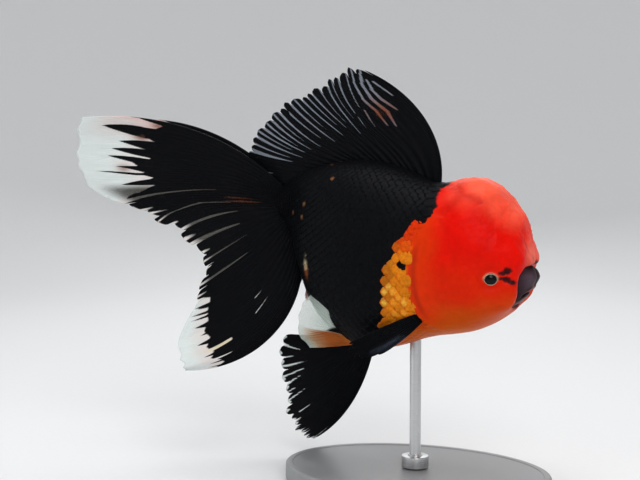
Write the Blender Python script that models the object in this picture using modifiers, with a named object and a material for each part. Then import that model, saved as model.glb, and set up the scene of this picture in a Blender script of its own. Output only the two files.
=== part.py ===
"""A life-size model of a red-headed black oranda goldfish, swimming nose down, held on a display stand.

+X is towards the snout, +Y towards the fish's left side and +Z up. The origin is the middle of the
underside of the stand's base. Lengths are in metres; tables of shape are in millimetres, times MM.
"""

import math

import bmesh
import bpy
from mathutils import Vector

MM = 0.001

# Driving sizes of the stand
BASE_LENGTH = 120 * MM
BASE_WIDTH = 84 * MM
BASE_HEIGHT = 8 * MM
BASE_EDGE_ROUND = 1.2 * MM
BASE_SIDES = 48
ROD_RADIUS = 2.5 * MM
ROD_IN_BODY = 9 * MM
ROD_SIDES = 24
COLLAR_RADIUS = 6 * MM
COLLAR_HEIGHT = 5 * MM
COLLAR_CHAMFER = 1 * MM

# Height of the fish's own datum above the floor, and the gap between neighbouring solids
FISH_LIFT = 7 * MM
GAP = 0.3 * MM

# Stations of the body from tail stalk to snout, in mm: place along X, top, bottom, half width and
# the height at which the section is widest
BODY_STATIONS = (
    (-66.0, 124.0, 111.5, 3.4, 117.5),
    (-61.5, 127.8, 108.0, 6.2, 117.0),
    (-57.0, 130.6, 101.0, 10.0, 113.0),
    (-52.0, 132.8, 87.5, 16.0, 105.0),
    (-44.0, 135.2, 69.5, 23.5, 97.0),
    (-33.0, 137.2, 58.2, 28.6, 92.0),
    (-20.0, 137.4, 52.8, 30.8, 89.0),
    (-6.0, 134.2, 55.2, 30.8, 89.0),
    (8.0, 128.6, 59.8, 29.8, 89.5),
    (18.0, 127.8, 61.4, 29.4, 90.0),
    (28.0, 128.6, 63.4, 28.8, 90.0),
    (37.0, 124.0, 67.4, 27.0, 89.5),
    (44.0, 116.0, 72.4, 23.4, 89.0),
    (49.0, 107.0, 77.2, 18.0, 88.5),
    (52.2, 95.0, 83.0, 8.0, 88.5),
)
BODY_FULLNESS = 2.3  # exponent of the section: 2 is an ellipse, more is squarer
RINGS = 30
RING_SIDES = 28
RING_CROWDING = 0.45  # how far the rings crowd towards both ends: 0 is even
STALK_POLE = -1.6 * MM  # the closing points, from the first and last ring
SNOUT_POLE = 1.0 * MM
SHARP_ANGLE = math.radians(40)

# Swellings of the fleshy growth and the hollows round eyes and mouth, in mm: middle, reach and
# height. Each is repeated on the left side.
SWELLINGS = (
    ((24.0, -9.0, 131.0), 11.0, 2.1),  # crown, rear
    ((38.0, -8.0, 123.0), 9.0, 1.6),  # crown, front
    ((30.0, -17.0, 121.0), 11.0, 2.6),  # crown, side
    ((18.0, -24.0, 112.0), 10.0, 1.6),  # temple
    ((46.0, -6.0, 110.0), 8.0, 1.8),  # forehead
    ((51.0, 0.0, 98.5), 6.0, 1.8),  # nose pad, over the mouth
    ((47.0, -16.0, 97.0), 6.5, 1.6),  # brow, before the eye
    ((38.0, -25.0, 87.8), 5.5, -2.3),  # eye hollow
    ((31.0, -27.0, 79.0), 9.0, 1.6),  # cheek
    ((44.0, -18.0, 79.0), 7.0, 2.2),  # cheek, beside the mouth
    ((52.0, 0.0, 86.0), 7.0, -3.6),  # mouth hollow
    ((12.0, 0.0, 128.0), 5.5, -1.8),  # notch of the nape
)

# Planes that part the body: a point on the plane in mm, and its normal
HEAD_CUT = ((3.0, 0.0, 93.0), (1.0, 0.0, 0.06))
STALK_CUT = ((-55.5, 0.0, 112.0), (1.0, 0.0, -0.25))
CROWN_CUT = ((37.7, 0.0, 103.0), (0.40, 0.0, 0.92))

# Gill covers: an oval plate of the flank, let into the head
COVER_MIDDLE = (17.0, 91.0)
COVER_RADII = (11.0, 20.0)
COVER_THICKNESS = 3.0 * MM
COVER_SIDES = 24
COVER_BLOCK_INNER = 6 * MM  # the cutting block runs from here to well outside the body
COVER_BLOCK_OUTER = 60 * MM

# Muzzle and lower jaw, in mm: middle and radii of each rounded form
MUZZLE_MIDDLE = (47.6, 0.0, 86.4)
MUZZLE_RADII = (8.0, 9.0, 7.4)
JAW_MIDDLE = (43.4, 0.0, 78.0)
JAW_RADII = (7.2, 7.4, 4.4)
JAW_TILT = math.radians(28)

EYE_MIDDLE = (37.7, 21.1, 87.9)
EYE_RADIUS = 4.5 * MM

# Rays of each fin: the root line from its first ray to its last as (x, y, z) points in mm, then rays
# as (share along the root, angle at the root, half way and at the tip, length in mm). Angles are in
# degrees from straight back, upwards.
DORSAL_ROOT = ((11.0, 0.0, 124.5), (-10.7, 0.0, 133.0), (-32.3, 0.0, 135.0), (-54.0, 0.0, 127.5))
DORSAL_RAYS = (
    (0.0, 100, 54, 24, 68),
    (0.12, 74, 42, 74, 62),
    (0.37, 48, 40, 52, 51),
    (0.56, 24, 32, 46, 48),
    (0.8, 6, 14, 26, 41),
    (1.0, -9, 0, 12, 26),
)
TAIL_ROOT = ((-61.5, 1.7, 124.0), (-62.5, 1.8, 114.5), (-53.0, 2.6, 92.5))
TAIL_RIGHT_RAYS = (
    (0.0, 47, 20, -6, 101),
    (0.15, 29, 9, -1, 96),
    (0.3, 14, 2, -4, 86),
    (0.38, 6, -2, -18, 66),
    (0.46, -4, -8, -36, 50),
    (0.54, -28, -32, -36, 41),
    (0.64, -52, -42, -34, 53),
    (0.76, -76, -46, -18, 72),
    (0.88, -96, -47, -14, 78),
    (1.0, -95, -47, 1, 78),
)
TAIL_LEFT_FOLD = 12  # degrees that the lowest rays of the left half are held further back
TAIL_LEFT_RAYS = tuple(
    (share, at_root + TAIL_LEFT_FOLD * share**2, half_way + TAIL_LEFT_FOLD * share**2, at_tip, length)
    for share, at_root, half_way, at_tip, length in TAIL_RIGHT_RAYS
)
TAIL_CLEFT = 0.54  # share along the root where the two lobes of a half part
CLEFT_HALF = 0.006
PELVIC_LEFT_ROOT = ((-22.0, 10.5, 58.0), (-28.5, 11.5, 59.5))
PELVIC_LEFT_RAYS = (
    (0.0, -80, -57, -30, 68),
    (0.25, -71, -53, -30, 68),
    (0.5, -60, -45, -28, 65),
    (0.7, -46, -34, -20, 55),
    (1.0, -14, -6, 0, 41),
)
PELVIC_RIGHT_ROOT = ((-20.3, 13.6, 57.1), (-24.3, 18.6, 61.4))
PELVIC_RIGHT_RAYS = (
    (0.0, -10, -6, 0, 22),
    (0.35, 3, 8, 10, 23),
    (0.7, 27, 29, 32, 23),
    (1.0, 58, 54, 52, 22),
)
PECTORAL_ROOT = ((9.0, 25.0, 73.0), (10.0, 23.5, 69.0))
PECTORAL_RIGHT_RAYS = (
    (0.0, -20, -26, -28, 28),
    (0.35, -26, -29, -30, 32),
    (0.7, -36, -34, -30, 31),
    (1.0, -46, -40, -32, 23),
)
PECTORAL_LEFT_RAYS = (
    (0.0, 4, -6, -12, 30),
    (0.35, -4, -10, -12, 33),
    (0.7, -12, -14, -14, 30),
    (1.0, -24, -20, -16, 22),
)
ANAL_ROOT = ((-48.0, 2.8, 80.0), (-51.0, 2.6, 88.0))
ANAL_RAYS = ((0.0, -96, -84, -70, 7), (0.5, -92, -84, -72, 10), (1.0, -96, -88, -78, 12))

# Each fin: its root, its rays, how far it leans outwards along the root in degrees, and its side
FINS = {
    "dorsal_fin": (DORSAL_ROOT, DORSAL_RAYS, (0, 0), 1),
    "pelvic_fin_right": (PELVIC_RIGHT_ROOT, PELVIC_RIGHT_RAYS, (20, 32), -1),
    "pelvic_fin_left": (PELVIC_LEFT_ROOT, PELVIC_LEFT_RAYS, (12, 5), 1),
    "pectoral_fin_right": (PECTORAL_ROOT, PECTORAL_RIGHT_RAYS, (24, -2), -1),
    "pectoral_fin_left": (PECTORAL_ROOT, PECTORAL_LEFT_RAYS, (26, 0), 1),
    "tail_right": (TAIL_ROOT, TAIL_RIGHT_RAYS, (16, 17), -1),
    "tail_left": (TAIL_ROOT, TAIL_LEFT_RAYS, (1, -3), 1),
    "anal_fin_right": (ANAL_ROOT, ANAL_RAYS, (6, 6), -1),
    "anal_fin_left": (ANAL_ROOT, ANAL_RAYS, (6, 6), 1),
}
FIN_ROOT_THICKNESS = 1.5 * MM
FIN_TIP_SHARE = 0.42  # a fin's thickness at its tips, as a share of that at its root
FIN_TAPER = 1.5  # exponent of the taper: more thins a fin sooner
FIN_STEPS = 7  # steps along each ray
TAIL_COLUMNS, DORSAL_COLUMNS, PAIRED_COLUMNS = 10, 14, 6  # columns of faces across each kind of fin

COLOURS = {
    "crown": (0.60, 0.04, 0.02, 0.55),
    "head": (0.62, 0.10, 0.02, 0.5),
    "muzzle": (0.05, 0.03, 0.04, 0.4),
    "gold": (0.60, 0.22, 0.03, 0.4),
    "body": (0.012, 0.013, 0.016, 0.4),
    "fin": (0.02, 0.02, 0.024, 0.5),
    "eye": (0.01, 0.008, 0.006, 0.1),
    "base": (0.30, 0.31, 0.32, 0.45),
    "steel": (0.55, 0.55, 0.56, 0.3),
}


def clear_scene():
    for thing in list(bpy.data.objects):
        bpy.data.objects.remove(thing, do_unlink=True)


def material(name):
    """A plain Principled material of the named colour."""
    red, green, blue, rough = COLOURS[name]
    made = bpy.data.materials.get(name) or bpy.data.materials.new(name)
    made.use_nodes = True
    shader = made.node_tree.nodes["Principled BSDF"]
    shader.inputs["Base Color"].default_value = (red, green, blue, 1.0)
    shader.inputs["Roughness"].default_value = rough
    shader.inputs["Metallic"].default_value = 1.0 if name == "steel" else 0.0
    return made


def collection(name, hidden=False):
    made = bpy.data.collections.new(name)
    bpy.context.scene.collection.children.link(made)
    made.hide_render = hidden
    return made


def add_object(name, mesh, group, finish=None):
    made = bpy.data.objects.new(name, mesh)
    group.objects.link(made)
    if finish:
        mesh.materials.append(material(finish))
    else:
        made.hide_render = True
        made.display_type = "WIRE"
    return made


def mesh_from(bm, name):
    bmesh.ops.recalc_face_normals(bm, faces=bm.faces)
    mesh = bpy.data.meshes.new(name)
    bm.to_mesh(mesh)
    bm.free()
    mesh.shade_smooth()
    mesh.set_sharp_from_angle(angle=SHARP_ANGLE)
    return mesh


def smooth_row(rows, place):
    """The row of a table at a place between its rows, on a smooth curve through them."""
    index = max(k for k in range(len(rows) - 1) if k == 0 or rows[k][0] <= place)
    first, second = rows[index], rows[index + 1]
    before, after = rows[max(index - 1, 0)], rows[min(index + 2, len(rows) - 1)]
    span = second[0] - first[0]
    t = min(max((place - first[0]) / span, 0.0), 1.0)
    found = []
    for column in range(1, len(first)):
        slope_in = (second[column] - before[column]) / (second[0] - before[0]) * span
        slope_out = (after[column] - first[column]) / (after[0] - first[0]) * span
        found.append(
            (2 * t**3 - 3 * t**2 + 1) * first[column]
            + (t**3 - 2 * t**2 + t) * slope_in
            + (3 * t**2 - 2 * t**3) * second[column]
            + (t**3 - t**2) * slope_out
        )
    return found


def signed_power(value, power):
    return math.copysign(abs(value) ** power, value)


def body_bmesh(grow=0.0):
    """The whole body, from stalk to snout, as one closed form, swollen by grow."""
    bm = bmesh.new()
    first, last = BODY_STATIONS[0][0], BODY_STATIONS[-1][0]
    rings = []
    for k in range(RINGS):
        even = k / (RINGS - 1)
        crowded = 0.5 - 0.5 * math.cos(math.pi * even)
        place = first + (last - first) * (even + (crowded - even) * RING_CROWDING)
        top, bottom, half, widest = smooth_row(BODY_STATIONS, place)
        ring = []
        for side in range(RING_SIDES):
            turn = 2 * math.pi * side / RING_SIDES
            across = half * signed_power(math.cos(turn), 2 / BODY_FULLNESS)
            reach = top - widest if math.sin(turn) > 0 else widest - bottom
            height = widest + reach * signed_power(math.sin(turn), 2 / BODY_FULLNESS)
            ring.append(bm.verts.new(Vector((place, across, height)) * MM))
        rings.append(ring)
    for ring, following in zip(rings, rings[1:]):
        for side in range(RING_SIDES):
            ahead = (side + 1) % RING_SIDES
            bm.faces.new((ring[side], ring[ahead], following[ahead], following[side]))
    for ring, beyond in ((rings[0], STALK_POLE), (rings[-1], SNOUT_POLE)):
        middle = sum((v.co for v in ring), Vector()) / RING_SIDES
        pole = bm.verts.new(middle + Vector((beyond, 0, 0)))
        for side in range(RING_SIDES):
            bm.faces.new((ring[side], ring[(side + 1) % RING_SIDES], pole))
    bmesh.ops.recalc_face_normals(bm, faces=bm.faces)
    bm.normal_update()
    moves = [v.normal * (grow + swelling(v.co)) for v in bm.verts]
    for v, move in zip(bm.verts, moves):
        v.co += move
    bmesh.ops.translate(bm, verts=bm.verts, vec=(0, 0, FISH_LIFT))
    return bm


def swelling(place):
    """How far the growth stands out at a place, in metres."""
    total = 0.0
    for middle, reach, height in SWELLINGS:
        for side in (1, -1) if middle[1] else (1,):
            centre = Vector((middle[0], middle[1] * side, middle[2])) * MM
            total += height * MM * math.exp(-(((place - centre).length / (reach * MM)) ** 2))
    return total


def lifted(point, side=1):
    """A point of a table, in metres in the model's frame; side -1 puts it on the fish's right."""
    return Vector((point[0], point[1] * side, point[2])) * MM + Vector((0, 0, FISH_LIFT))


def cut_away(bm, point, normal):
    """Removes what lies on the normal's side of a plane and closes the cut."""
    geometry = bm.verts[:] + bm.edges[:] + bm.faces[:]
    cut = bmesh.ops.bisect_plane(
        bm, geom=geometry, dist=1e-7, plane_co=point, plane_no=normal, clear_outer=True
    )
    edges = [e for e in cut["geom_cut"] if isinstance(e, bmesh.types.BMEdge)]
    bmesh.ops.edgeloop_fill(bm, edges=edges)
    return bm


def ellipsoid(middle, radii, tilt=0.0, segments=16, rings=10, side=1):
    """A rounded form as a bmesh, turned about the fish's cross axis by tilt."""
    bm = bmesh.new()
    bmesh.ops.create_uvsphere(bm, u_segments=segments, v_segments=rings, radius=1.0)
    for v in bm.verts:
        x, y, z = v.co.x * radii[0], v.co.y * radii[1], v.co.z * radii[2]
        turned = Vector(
            (x * math.cos(tilt) + z * math.sin(tilt), y, z * math.cos(tilt) - x * math.sin(tilt))
        )
        v.co = turned + lifted(middle, side)
    return bm


def boolean(thing, other, operation="DIFFERENCE"):
    modifier = thing.modifiers.new(other.name, "BOOLEAN")
    modifier.operation = operation
    modifier.object = other
    modifier.solver = "EXACT"


def cover_cutter(name, side, margin, group):
    """An oval block over one flank, whose inner face follows the body's skin from within."""
    bm = bmesh.new()
    bmesh.ops.create_cone(
        bm, cap_ends=True, segments=COVER_SIDES, radius1=1.0, radius2=1.0, depth=1.0
    )
    for v in bm.verts:
        x = COVER_MIDDLE[0] * MM + v.co.x * (COVER_RADII[0] * MM + margin)
        z = COVER_MIDDLE[1] * MM + FISH_LIFT + v.co.y * (COVER_RADII[1] * MM + margin)
        v.co = Vector((x, side * (COVER_BLOCK_OUTER if v.co.z > 0 else COVER_BLOCK_INNER), z))
    block = add_object(name, mesh_from(bm, name), group)
    core = add_object(
        name + "_core", mesh_from(body_bmesh(-COVER_THICKNESS - margin), name + "_core"), group
    )
    boolean(block, core)
    return block


def build_body(parts, cutters):
    """Head, crown growth, muzzle, lower jaw, gill covers, trunk, tail stalk and eyes."""
    half_gap = GAP / 2
    planes = [
        (lifted(point), Vector(normal).normalized()) for point, normal in (HEAD_CUT, STALK_CUT, CROWN_CUT)
    ]
    (head_point, head_normal), (stalk_point, stalk_normal), (crown_point, crown_normal) = planes

    bm = cut_away(body_bmesh(), head_point + head_normal * half_gap, -head_normal)
    crown = cut_away(bm.copy(), crown_point + crown_normal * half_gap, -crown_normal)
    add_object("crown_growth", mesh_from(crown, "crown_growth"), parts, "crown")
    cut_away(bm, crown_point - crown_normal * half_gap, crown_normal)
    head = add_object("head", mesh_from(bm, "head"), parts, "head")

    bm = cut_away(body_bmesh(), head_point - head_normal * half_gap, head_normal)
    cut_away(bm, stalk_point + stalk_normal * half_gap, -stalk_normal)
    trunk = add_object("trunk", mesh_from(bm, "trunk"), parts, "body")
    bm = cut_away(body_bmesh(), stalk_point - stalk_normal * half_gap, stalk_normal)
    add_object("tail_stalk", mesh_from(bm, "tail_stalk"), parts, "body")

    for label, side in (("right", -1), ("left", 1)):
        block = cover_cutter(f"cover_block_{label}", side, 0.0, cutters)
        pocket = cover_cutter(f"cover_pocket_{label}", side, GAP, cutters)
        cover = add_object(
            f"gill_cover_{label}", mesh_from(body_bmesh(), f"gill_cover_{label}"), parts, "gold"
        )
        boolean(cover, block, "INTERSECT")
        boolean(head, pocket)
        eye_radii = [EYE_RADIUS] * 3
        socket_radii = [EYE_RADIUS + GAP] * 3
        eye = ellipsoid(EYE_MIDDLE, eye_radii, side=side)
        add_object(f"eye_{label}", mesh_from(eye, f"eye_{label}"), parts, "eye")
        socket = ellipsoid(EYE_MIDDLE, socket_radii, side=side)
        boolean(head, add_object(f"socket_{label}", mesh_from(socket, "socket"), cutters))

    muzzle_radii = [r * MM for r in MUZZLE_RADII]
    jaw_radii = [r * MM for r in JAW_RADII]
    muzzle_bm = ellipsoid(MUZZLE_MIDDLE, muzzle_radii)
    muzzle = add_object("muzzle", mesh_from(muzzle_bm, "muzzle"), parts, "muzzle")
    jaw_bm = ellipsoid(JAW_MIDDLE, jaw_radii, JAW_TILT)
    jaw = add_object("lower_jaw", mesh_from(jaw_bm, "lower_jaw"), parts, "muzzle")
    muzzle_room = ellipsoid(MUZZLE_MIDDLE, [r + GAP for r in muzzle_radii])
    muzzle_room = add_object("muzzle_room", mesh_from(muzzle_room, "muzzle_room"), cutters)
    jaw_room = ellipsoid(JAW_MIDDLE, [r + GAP for r in jaw_radii], JAW_TILT)
    jaw_room = add_object("jaw_room", mesh_from(jaw_room, "jaw_room"), cutters)
    boolean(head, muzzle_room)
    boolean(head, jaw_room)
    boolean(jaw, muzzle_room)

    rod_room = bmesh.new()
    bmesh.ops.create_cone(
        rod_room,
        cap_ends=True,
        segments=ROD_SIDES,
        radius1=ROD_RADIUS + GAP,
        radius2=ROD_RADIUS + GAP,
        depth=rod_top() + GAP,
    )
    bmesh.ops.translate(rod_room, verts=rod_room.verts, vec=(0, 0, (rod_top() + GAP) / 2))
    boolean(trunk, add_object("rod_room", mesh_from(rod_room, "rod_room"), cutters))


def rod_top():
    bottom = smooth_row(BODY_STATIONS, 0.0)[1] * MM + FISH_LIFT
    return bottom + ROD_IN_BODY


def root_point(root, share):
    rows = [(k / (len(root) - 1), *point) for k, point in enumerate(root)]
    return Vector(smooth_row(rows, share))


def ray_path(root, rays, share, leans, side):
    """Points along one ray, in metres, as it turns through its three angles on its way out."""
    at_root, half_way, at_tip, length = smooth_row(rays, share)
    place = root_point(root, share)
    lean = math.tan(math.radians(leans[0] + (leans[1] - leans[0]) * share))
    stride = length / FIN_STEPS
    points = [lifted(place, side)]
    for step in range(FIN_STEPS):
        t = (step + 0.5) / FIN_STEPS
        bend = 2 * at_root - 4 * half_way + 2 * at_tip
        angle = math.radians(at_root + t * (4 * half_way - 3 * at_root - at_tip) + t * t * bend)
        flare = lean * (0.5 + t)
        place += Vector((-math.cos(angle), flare, math.sin(angle))) * stride
        points.append(lifted(place, side))
    return points


def build_fin(name, fin, group, cut, columns, shares=(0.0, 1.0)):
    """A fin as a sheet over its rays, made solid, thick at its root, and parted from the body."""
    root, rays, leans, side = fin
    bm = bmesh.new()
    grid = []
    for column in range(columns + 1):
        share = shares[0] + (shares[1] - shares[0]) * column / columns
        grid.append([bm.verts.new(p) for p in ray_path(root, rays, share, leans, side)])
    for ray, following in zip(grid, grid[1:]):
        for step in range(FIN_STEPS):
            bm.faces.new((ray[step], ray[step + 1], following[step + 1], following[step]))
    made = add_object(name, mesh_from(bm, name), group, "fin")
    thickness = made.vertex_groups.new(name="thickness")
    for index in range(len(made.data.vertices)):
        out = (index % (FIN_STEPS + 1)) / FIN_STEPS
        thickness.add([index], (1 - out) ** FIN_TAPER, "REPLACE")
    solidify = made.modifiers.new("Solidify", "SOLIDIFY")
    solidify.thickness = FIN_ROOT_THICKNESS
    solidify.offset = 0.0
    solidify.vertex_group = thickness.name
    solidify.thickness_vertex_group = FIN_TIP_SHARE
    boolean(made, cut)


def build_fins(parts, cutters):
    grown = add_object("body_grown", mesh_from(body_bmesh(GAP), "body_grown"), cutters)
    lobes = {"upper": (0.0, TAIL_CLEFT - CLEFT_HALF), "lower": (TAIL_CLEFT + CLEFT_HALF, 1.0)}
    for name, fin in FINS.items():
        if name.startswith("tail"):
            side = name.split("_")[1]
            for lobe, shares in lobes.items():
                build_fin(f"tail_{lobe}_{side}", fin, parts, grown, TAIL_COLUMNS, shares)
        elif name == "dorsal_fin":
            build_fin(name, fin, parts, grown, DORSAL_COLUMNS)
        else:
            build_fin(name, fin, parts, grown, PAIRED_COLUMNS)


def build_stand(parts, cutters):
    """A flat oval base with a rod that stands in a collar and runs up into the belly."""
    bm = bmesh.new()
    bmesh.ops.create_cone(bm, cap_ends=True, segments=BASE_SIDES, radius1=0.5, radius2=0.5, depth=1.0)
    for v in bm.verts:
        v.co = Vector((v.co.x * BASE_LENGTH, v.co.y * BASE_WIDTH, (v.co.z + 0.5) * BASE_HEIGHT))
    base = add_object("stand_base", mesh_from(bm, "stand_base"), parts, "base")
    rounding = base.modifiers.new("Bevel", "BEVEL")
    rounding.width = BASE_EDGE_ROUND
    rounding.segments = 2
    rounding.limit_method = "ANGLE"

    rod_foot = BASE_HEIGHT + GAP
    profile = (
        (0.0, rod_top()),
        (ROD_RADIUS, rod_top()),
        (ROD_RADIUS, rod_foot + COLLAR_HEIGHT),
        (COLLAR_RADIUS - COLLAR_CHAMFER, rod_foot + COLLAR_HEIGHT),
        (COLLAR_RADIUS, rod_foot + COLLAR_HEIGHT - COLLAR_CHAMFER),
        (COLLAR_RADIUS, rod_foot),
        (0.0, rod_foot),
    )
    bm = bmesh.new()
    verts = [bm.verts.new((radius, 0.0, height)) for radius, height in profile]
    for above, below in zip(verts, verts[1:]):
        bm.edges.new((above, below))
    mesh = bpy.data.meshes.new("stand_rod")
    bm.to_mesh(mesh)
    bm.free()
    rod = add_object("stand_rod", mesh, parts, "steel")
    turn = rod.modifiers.new("Screw", "SCREW")
    turn.steps = turn.render_steps = ROD_SIDES
    turn.use_merge_vertices = True
    turn.merge_threshold = 0.00005


def main():
    clear_scene()
    parts = collection("oranda_goldfish")
    cutters = collection("cutters", hidden=True)
    build_body(parts, cutters)
    build_fins(parts, cutters)
    build_stand(parts, cutters)


if __name__ == "__main__":
    main()
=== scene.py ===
"""The visible model of a red-headed black oranda goldfish on its display stand, with floor, light and camera.

Run it with Blender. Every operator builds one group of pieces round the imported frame, in metres.
Tables of shape are in millimetres above the fish's own datum, which is FISH_LIFT above the floor.
"""

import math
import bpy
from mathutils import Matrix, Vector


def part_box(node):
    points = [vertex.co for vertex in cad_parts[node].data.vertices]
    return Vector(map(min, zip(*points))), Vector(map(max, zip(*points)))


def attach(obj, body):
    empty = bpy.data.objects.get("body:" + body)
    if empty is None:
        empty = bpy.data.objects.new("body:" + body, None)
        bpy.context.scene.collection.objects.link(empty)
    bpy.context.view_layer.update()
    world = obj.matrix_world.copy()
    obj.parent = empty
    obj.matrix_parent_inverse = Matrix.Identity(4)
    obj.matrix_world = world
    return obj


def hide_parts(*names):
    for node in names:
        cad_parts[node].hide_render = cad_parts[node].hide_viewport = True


bl_info = {
    "name": "Oranda Goldfish Model",
    "version": (1, 0, 0),
    "blender": (4, 5, 0),
    "location": "3D View > Sidebar > Oranda",
    "description": "Builds the skin, scales, fins, eyes and stand of a life-size oranda goldfish",
    "category": "Object",
}

from contextlib import contextmanager

import bmesh
import bpy
import numpy as np
from bpy.props import FloatProperty, FloatVectorProperty, PointerProperty
from mathutils import Vector, noise
from mathutils.bvhtree import BVHTree

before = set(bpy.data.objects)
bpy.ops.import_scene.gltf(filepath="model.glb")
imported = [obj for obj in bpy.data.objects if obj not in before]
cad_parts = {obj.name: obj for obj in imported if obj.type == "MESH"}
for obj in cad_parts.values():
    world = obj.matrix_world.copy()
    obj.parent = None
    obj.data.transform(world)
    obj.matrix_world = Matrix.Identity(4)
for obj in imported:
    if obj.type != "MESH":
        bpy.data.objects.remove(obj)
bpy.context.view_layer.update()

MM = 0.001
FISH_LIFT = 7.0  # mm from the floor up to the fish's datum

# Stations of the body from tail stalk to snout, in mm: place along X, top, bottom, half width and
# the height at which the section is widest
BODY_STATIONS = (
    (-66, 124, 111.5, 3.4, 117.5), (-61.5, 127.8, 108, 6.2, 117), (-57, 130.6, 101, 10, 113),
    (-52, 132.8, 87.5, 16, 105), (-44, 135.2, 69.5, 23.5, 97), (-33, 137.2, 58.2, 28.6, 92),
    (-20, 137.4, 52.8, 30.8, 89), (-6, 134.2, 55.2, 30.8, 89), (8, 128.6, 59.8, 29.8, 89.5),
    (18, 127.8, 61.4, 29.4, 90), (28, 128.6, 63.4, 28.8, 90), (37, 124, 67.4, 27, 89.5),
    (44, 116, 72.4, 23.4, 89), (49, 107, 77.2, 18, 88.5), (52.2, 95, 83, 8, 88.5),
)
BODY_FULLNESS = 2.3
BODY_RINGS = 170
BODY_SIDES = 220
STALK_POLE, SNOUT_POLE = -1.6, 1.0  # mm that the closed ends stand out past the end stations
SEAM = 1e-6  # metres within which points of a seam become one

# Swellings of the fleshy growth and the hollows round eyes and mouth, in mm: middle, reach and
# height. Each is repeated on the left side.
SWELLINGS = (
    ((24.0, -9.0, 131.0), 11.0, 2.1),  # crown, rear
    ((38.0, -8.0, 123.0), 9.0, 1.6),  # crown, front
    ((30.0, -17.0, 121.0), 11.0, 2.6),  # crown, side
    ((18.0, -24.0, 112.0), 10.0, 1.6),  # temple
    ((46.0, -6.0, 110.0), 8.0, 1.8),  # forehead
    ((51.0, 0.0, 98.5), 6.0, 1.8),  # nose pad, over the mouth
    ((47.0, -16.0, 97.0), 6.5, 1.6),  # brow, before the eye
    ((38.0, -25.0, 87.8), 5.5, -2.3),  # eye hollow
    ((31.0, -27.0, 79.0), 9.0, 1.6),  # cheek
    ((44.0, -18.0, 79.0), 7.0, 2.2),  # cheek, beside the mouth
    ((52.0, 0.0, 86.0), 7.0, -3.6),  # mouth hollow
    ((12.0, 0.0, 128.0), 5.5, -1.8),  # notch of the nape
)
MUZZLE_MIDDLE, MUZZLE_RADII = (47.6, 0.0, 86.4), (8.0, 9.0, 7.4)
EYE_MIDDLE, EYE_RADIUS, EYE_TURN = (37.7, 21.1, 87.9), 4.5, 20.0
FLESH = (
    "trunk", "head", "crown_growth", "muzzle", "lower_jaw",
    "gill_cover_left", "gill_cover_right", "tail_stalk",
)

# Fins: the root line from first ray to last, then rays as (share along the root, angle at the
# root, half way and at the tip, length). Angles are in degrees from straight back, upwards.
DORSAL_ROOT = ((11.0, 0.0, 124.5), (-10.7, 0.0, 133.0), (-32.3, 0.0, 135.0), (-54.0, 0.0, 127.5))
DORSAL_RAYS = (
    (0, 100, 54, 24, 68), (0.12, 74, 42, 74, 62), (0.37, 48, 40, 52, 51), (0.56, 24, 32, 46, 48),
    (0.8, 6, 14, 26, 41), (1, -9, 0, 12, 26),
)
TAIL_ROOT = ((-61.5, 1.7, 124.0), (-62.5, 1.8, 114.5), (-53.0, 2.6, 92.5))
TAIL_RIGHT_RAYS = (
    (0, 47, 20, -6, 101), (0.15, 29, 9, -1, 96), (0.3, 14, 2, -4, 86), (0.38, 6, -2, -18, 66),
    (0.46, -4, -8, -36, 50), (0.54, -28, -32, -36, 41), (0.64, -52, -42, -34, 53),
    (0.76, -76, -46, -18, 72), (0.88, -96, -47, -14, 78), (1, -95, -47, 1, 78),
)
TAIL_LEFT_FOLD = 12  # degrees that the lowest rays of the left half are held further back
TAIL_LEFT_RAYS = tuple(
    (s, a + TAIL_LEFT_FOLD * s**2, h + TAIL_LEFT_FOLD * s**2, e, n) for s, a, h, e, n in TAIL_RIGHT_RAYS
)
PELVIC_LEFT_ROOT = ((-22.0, 10.5, 58.0), (-28.5, 11.5, 59.5))
PELVIC_LEFT_RAYS = (
    (0, -80, -57, -30, 68), (0.25, -71, -53, -30, 68), (0.5, -60, -45, -28, 65),
    (0.7, -46, -34, -20, 55), (1, -14, -6, 0, 41),
)
PELVIC_RIGHT_ROOT = ((-20.3, 13.6, 57.1), (-24.3, 18.6, 61.4))
PELVIC_RIGHT_RAYS = (
    (0, -10, -6, 0, 22), (0.35, 3, 8, 10, 23), (0.7, 27, 29, 32, 23), (1, 58, 54, 52, 22),
)
PECTORAL_ROOT = ((9.0, 25.0, 73.0), (10.0, 23.5, 69.0))
PECTORAL_RIGHT_RAYS = (
    (0, -20, -26, -28, 28), (0.35, -26, -29, -30, 32), (0.7, -36, -34, -30, 31), (1, -46, -40, -32, 23),
)
PECTORAL_LEFT_RAYS = (
    (0, 4, -6, -12, 30), (0.35, -4, -10, -12, 33), (0.7, -12, -14, -14, 30), (1, -24, -20, -16, 22),
)
ANAL_ROOT = ((-48.0, 2.8, 80.0), (-51.0, 2.6, 88.0))
ANAL_RAYS = ((0.0, -96, -84, -70, 7), (0.5, -92, -84, -72, 10), (1.0, -96, -88, -78, 12))


# ---------------------------------------------------------------- small tools


def linear(code):
    """The linear colour of an sRGB hex value such as D8321A."""
    shares = [int(code[k : k + 2], 16) / 255 for k in (0, 2, 4)]
    return [s / 12.92 if s <= 0.04045 else ((s + 0.055) / 1.055) ** 2.4 for s in shares]


def hue(key):
    """One of the colours in the panel."""
    return np.array(getattr(bpy.context.scene.oranda_colours, key))


def plain(key, count):
    """One of the colours in the panel, at count places."""
    return np.tile(hue(key), (count, 1))


def mixed(under, over, share):
    return under + (over - under) * share[:, None]


def paint(colour, key, share):
    """Lays a colour of the panel over the colours at all places, by a share at each."""
    colour[:] = mixed(colour, hue(key), share)


def step(low, high, value):
    """0 below low, 1 above high, and smooth between them; low may be the larger."""
    t = np.clip((value - low) / (high - low), 0.0, 1.0)
    return t * t * (3 - 2 * t)


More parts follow.
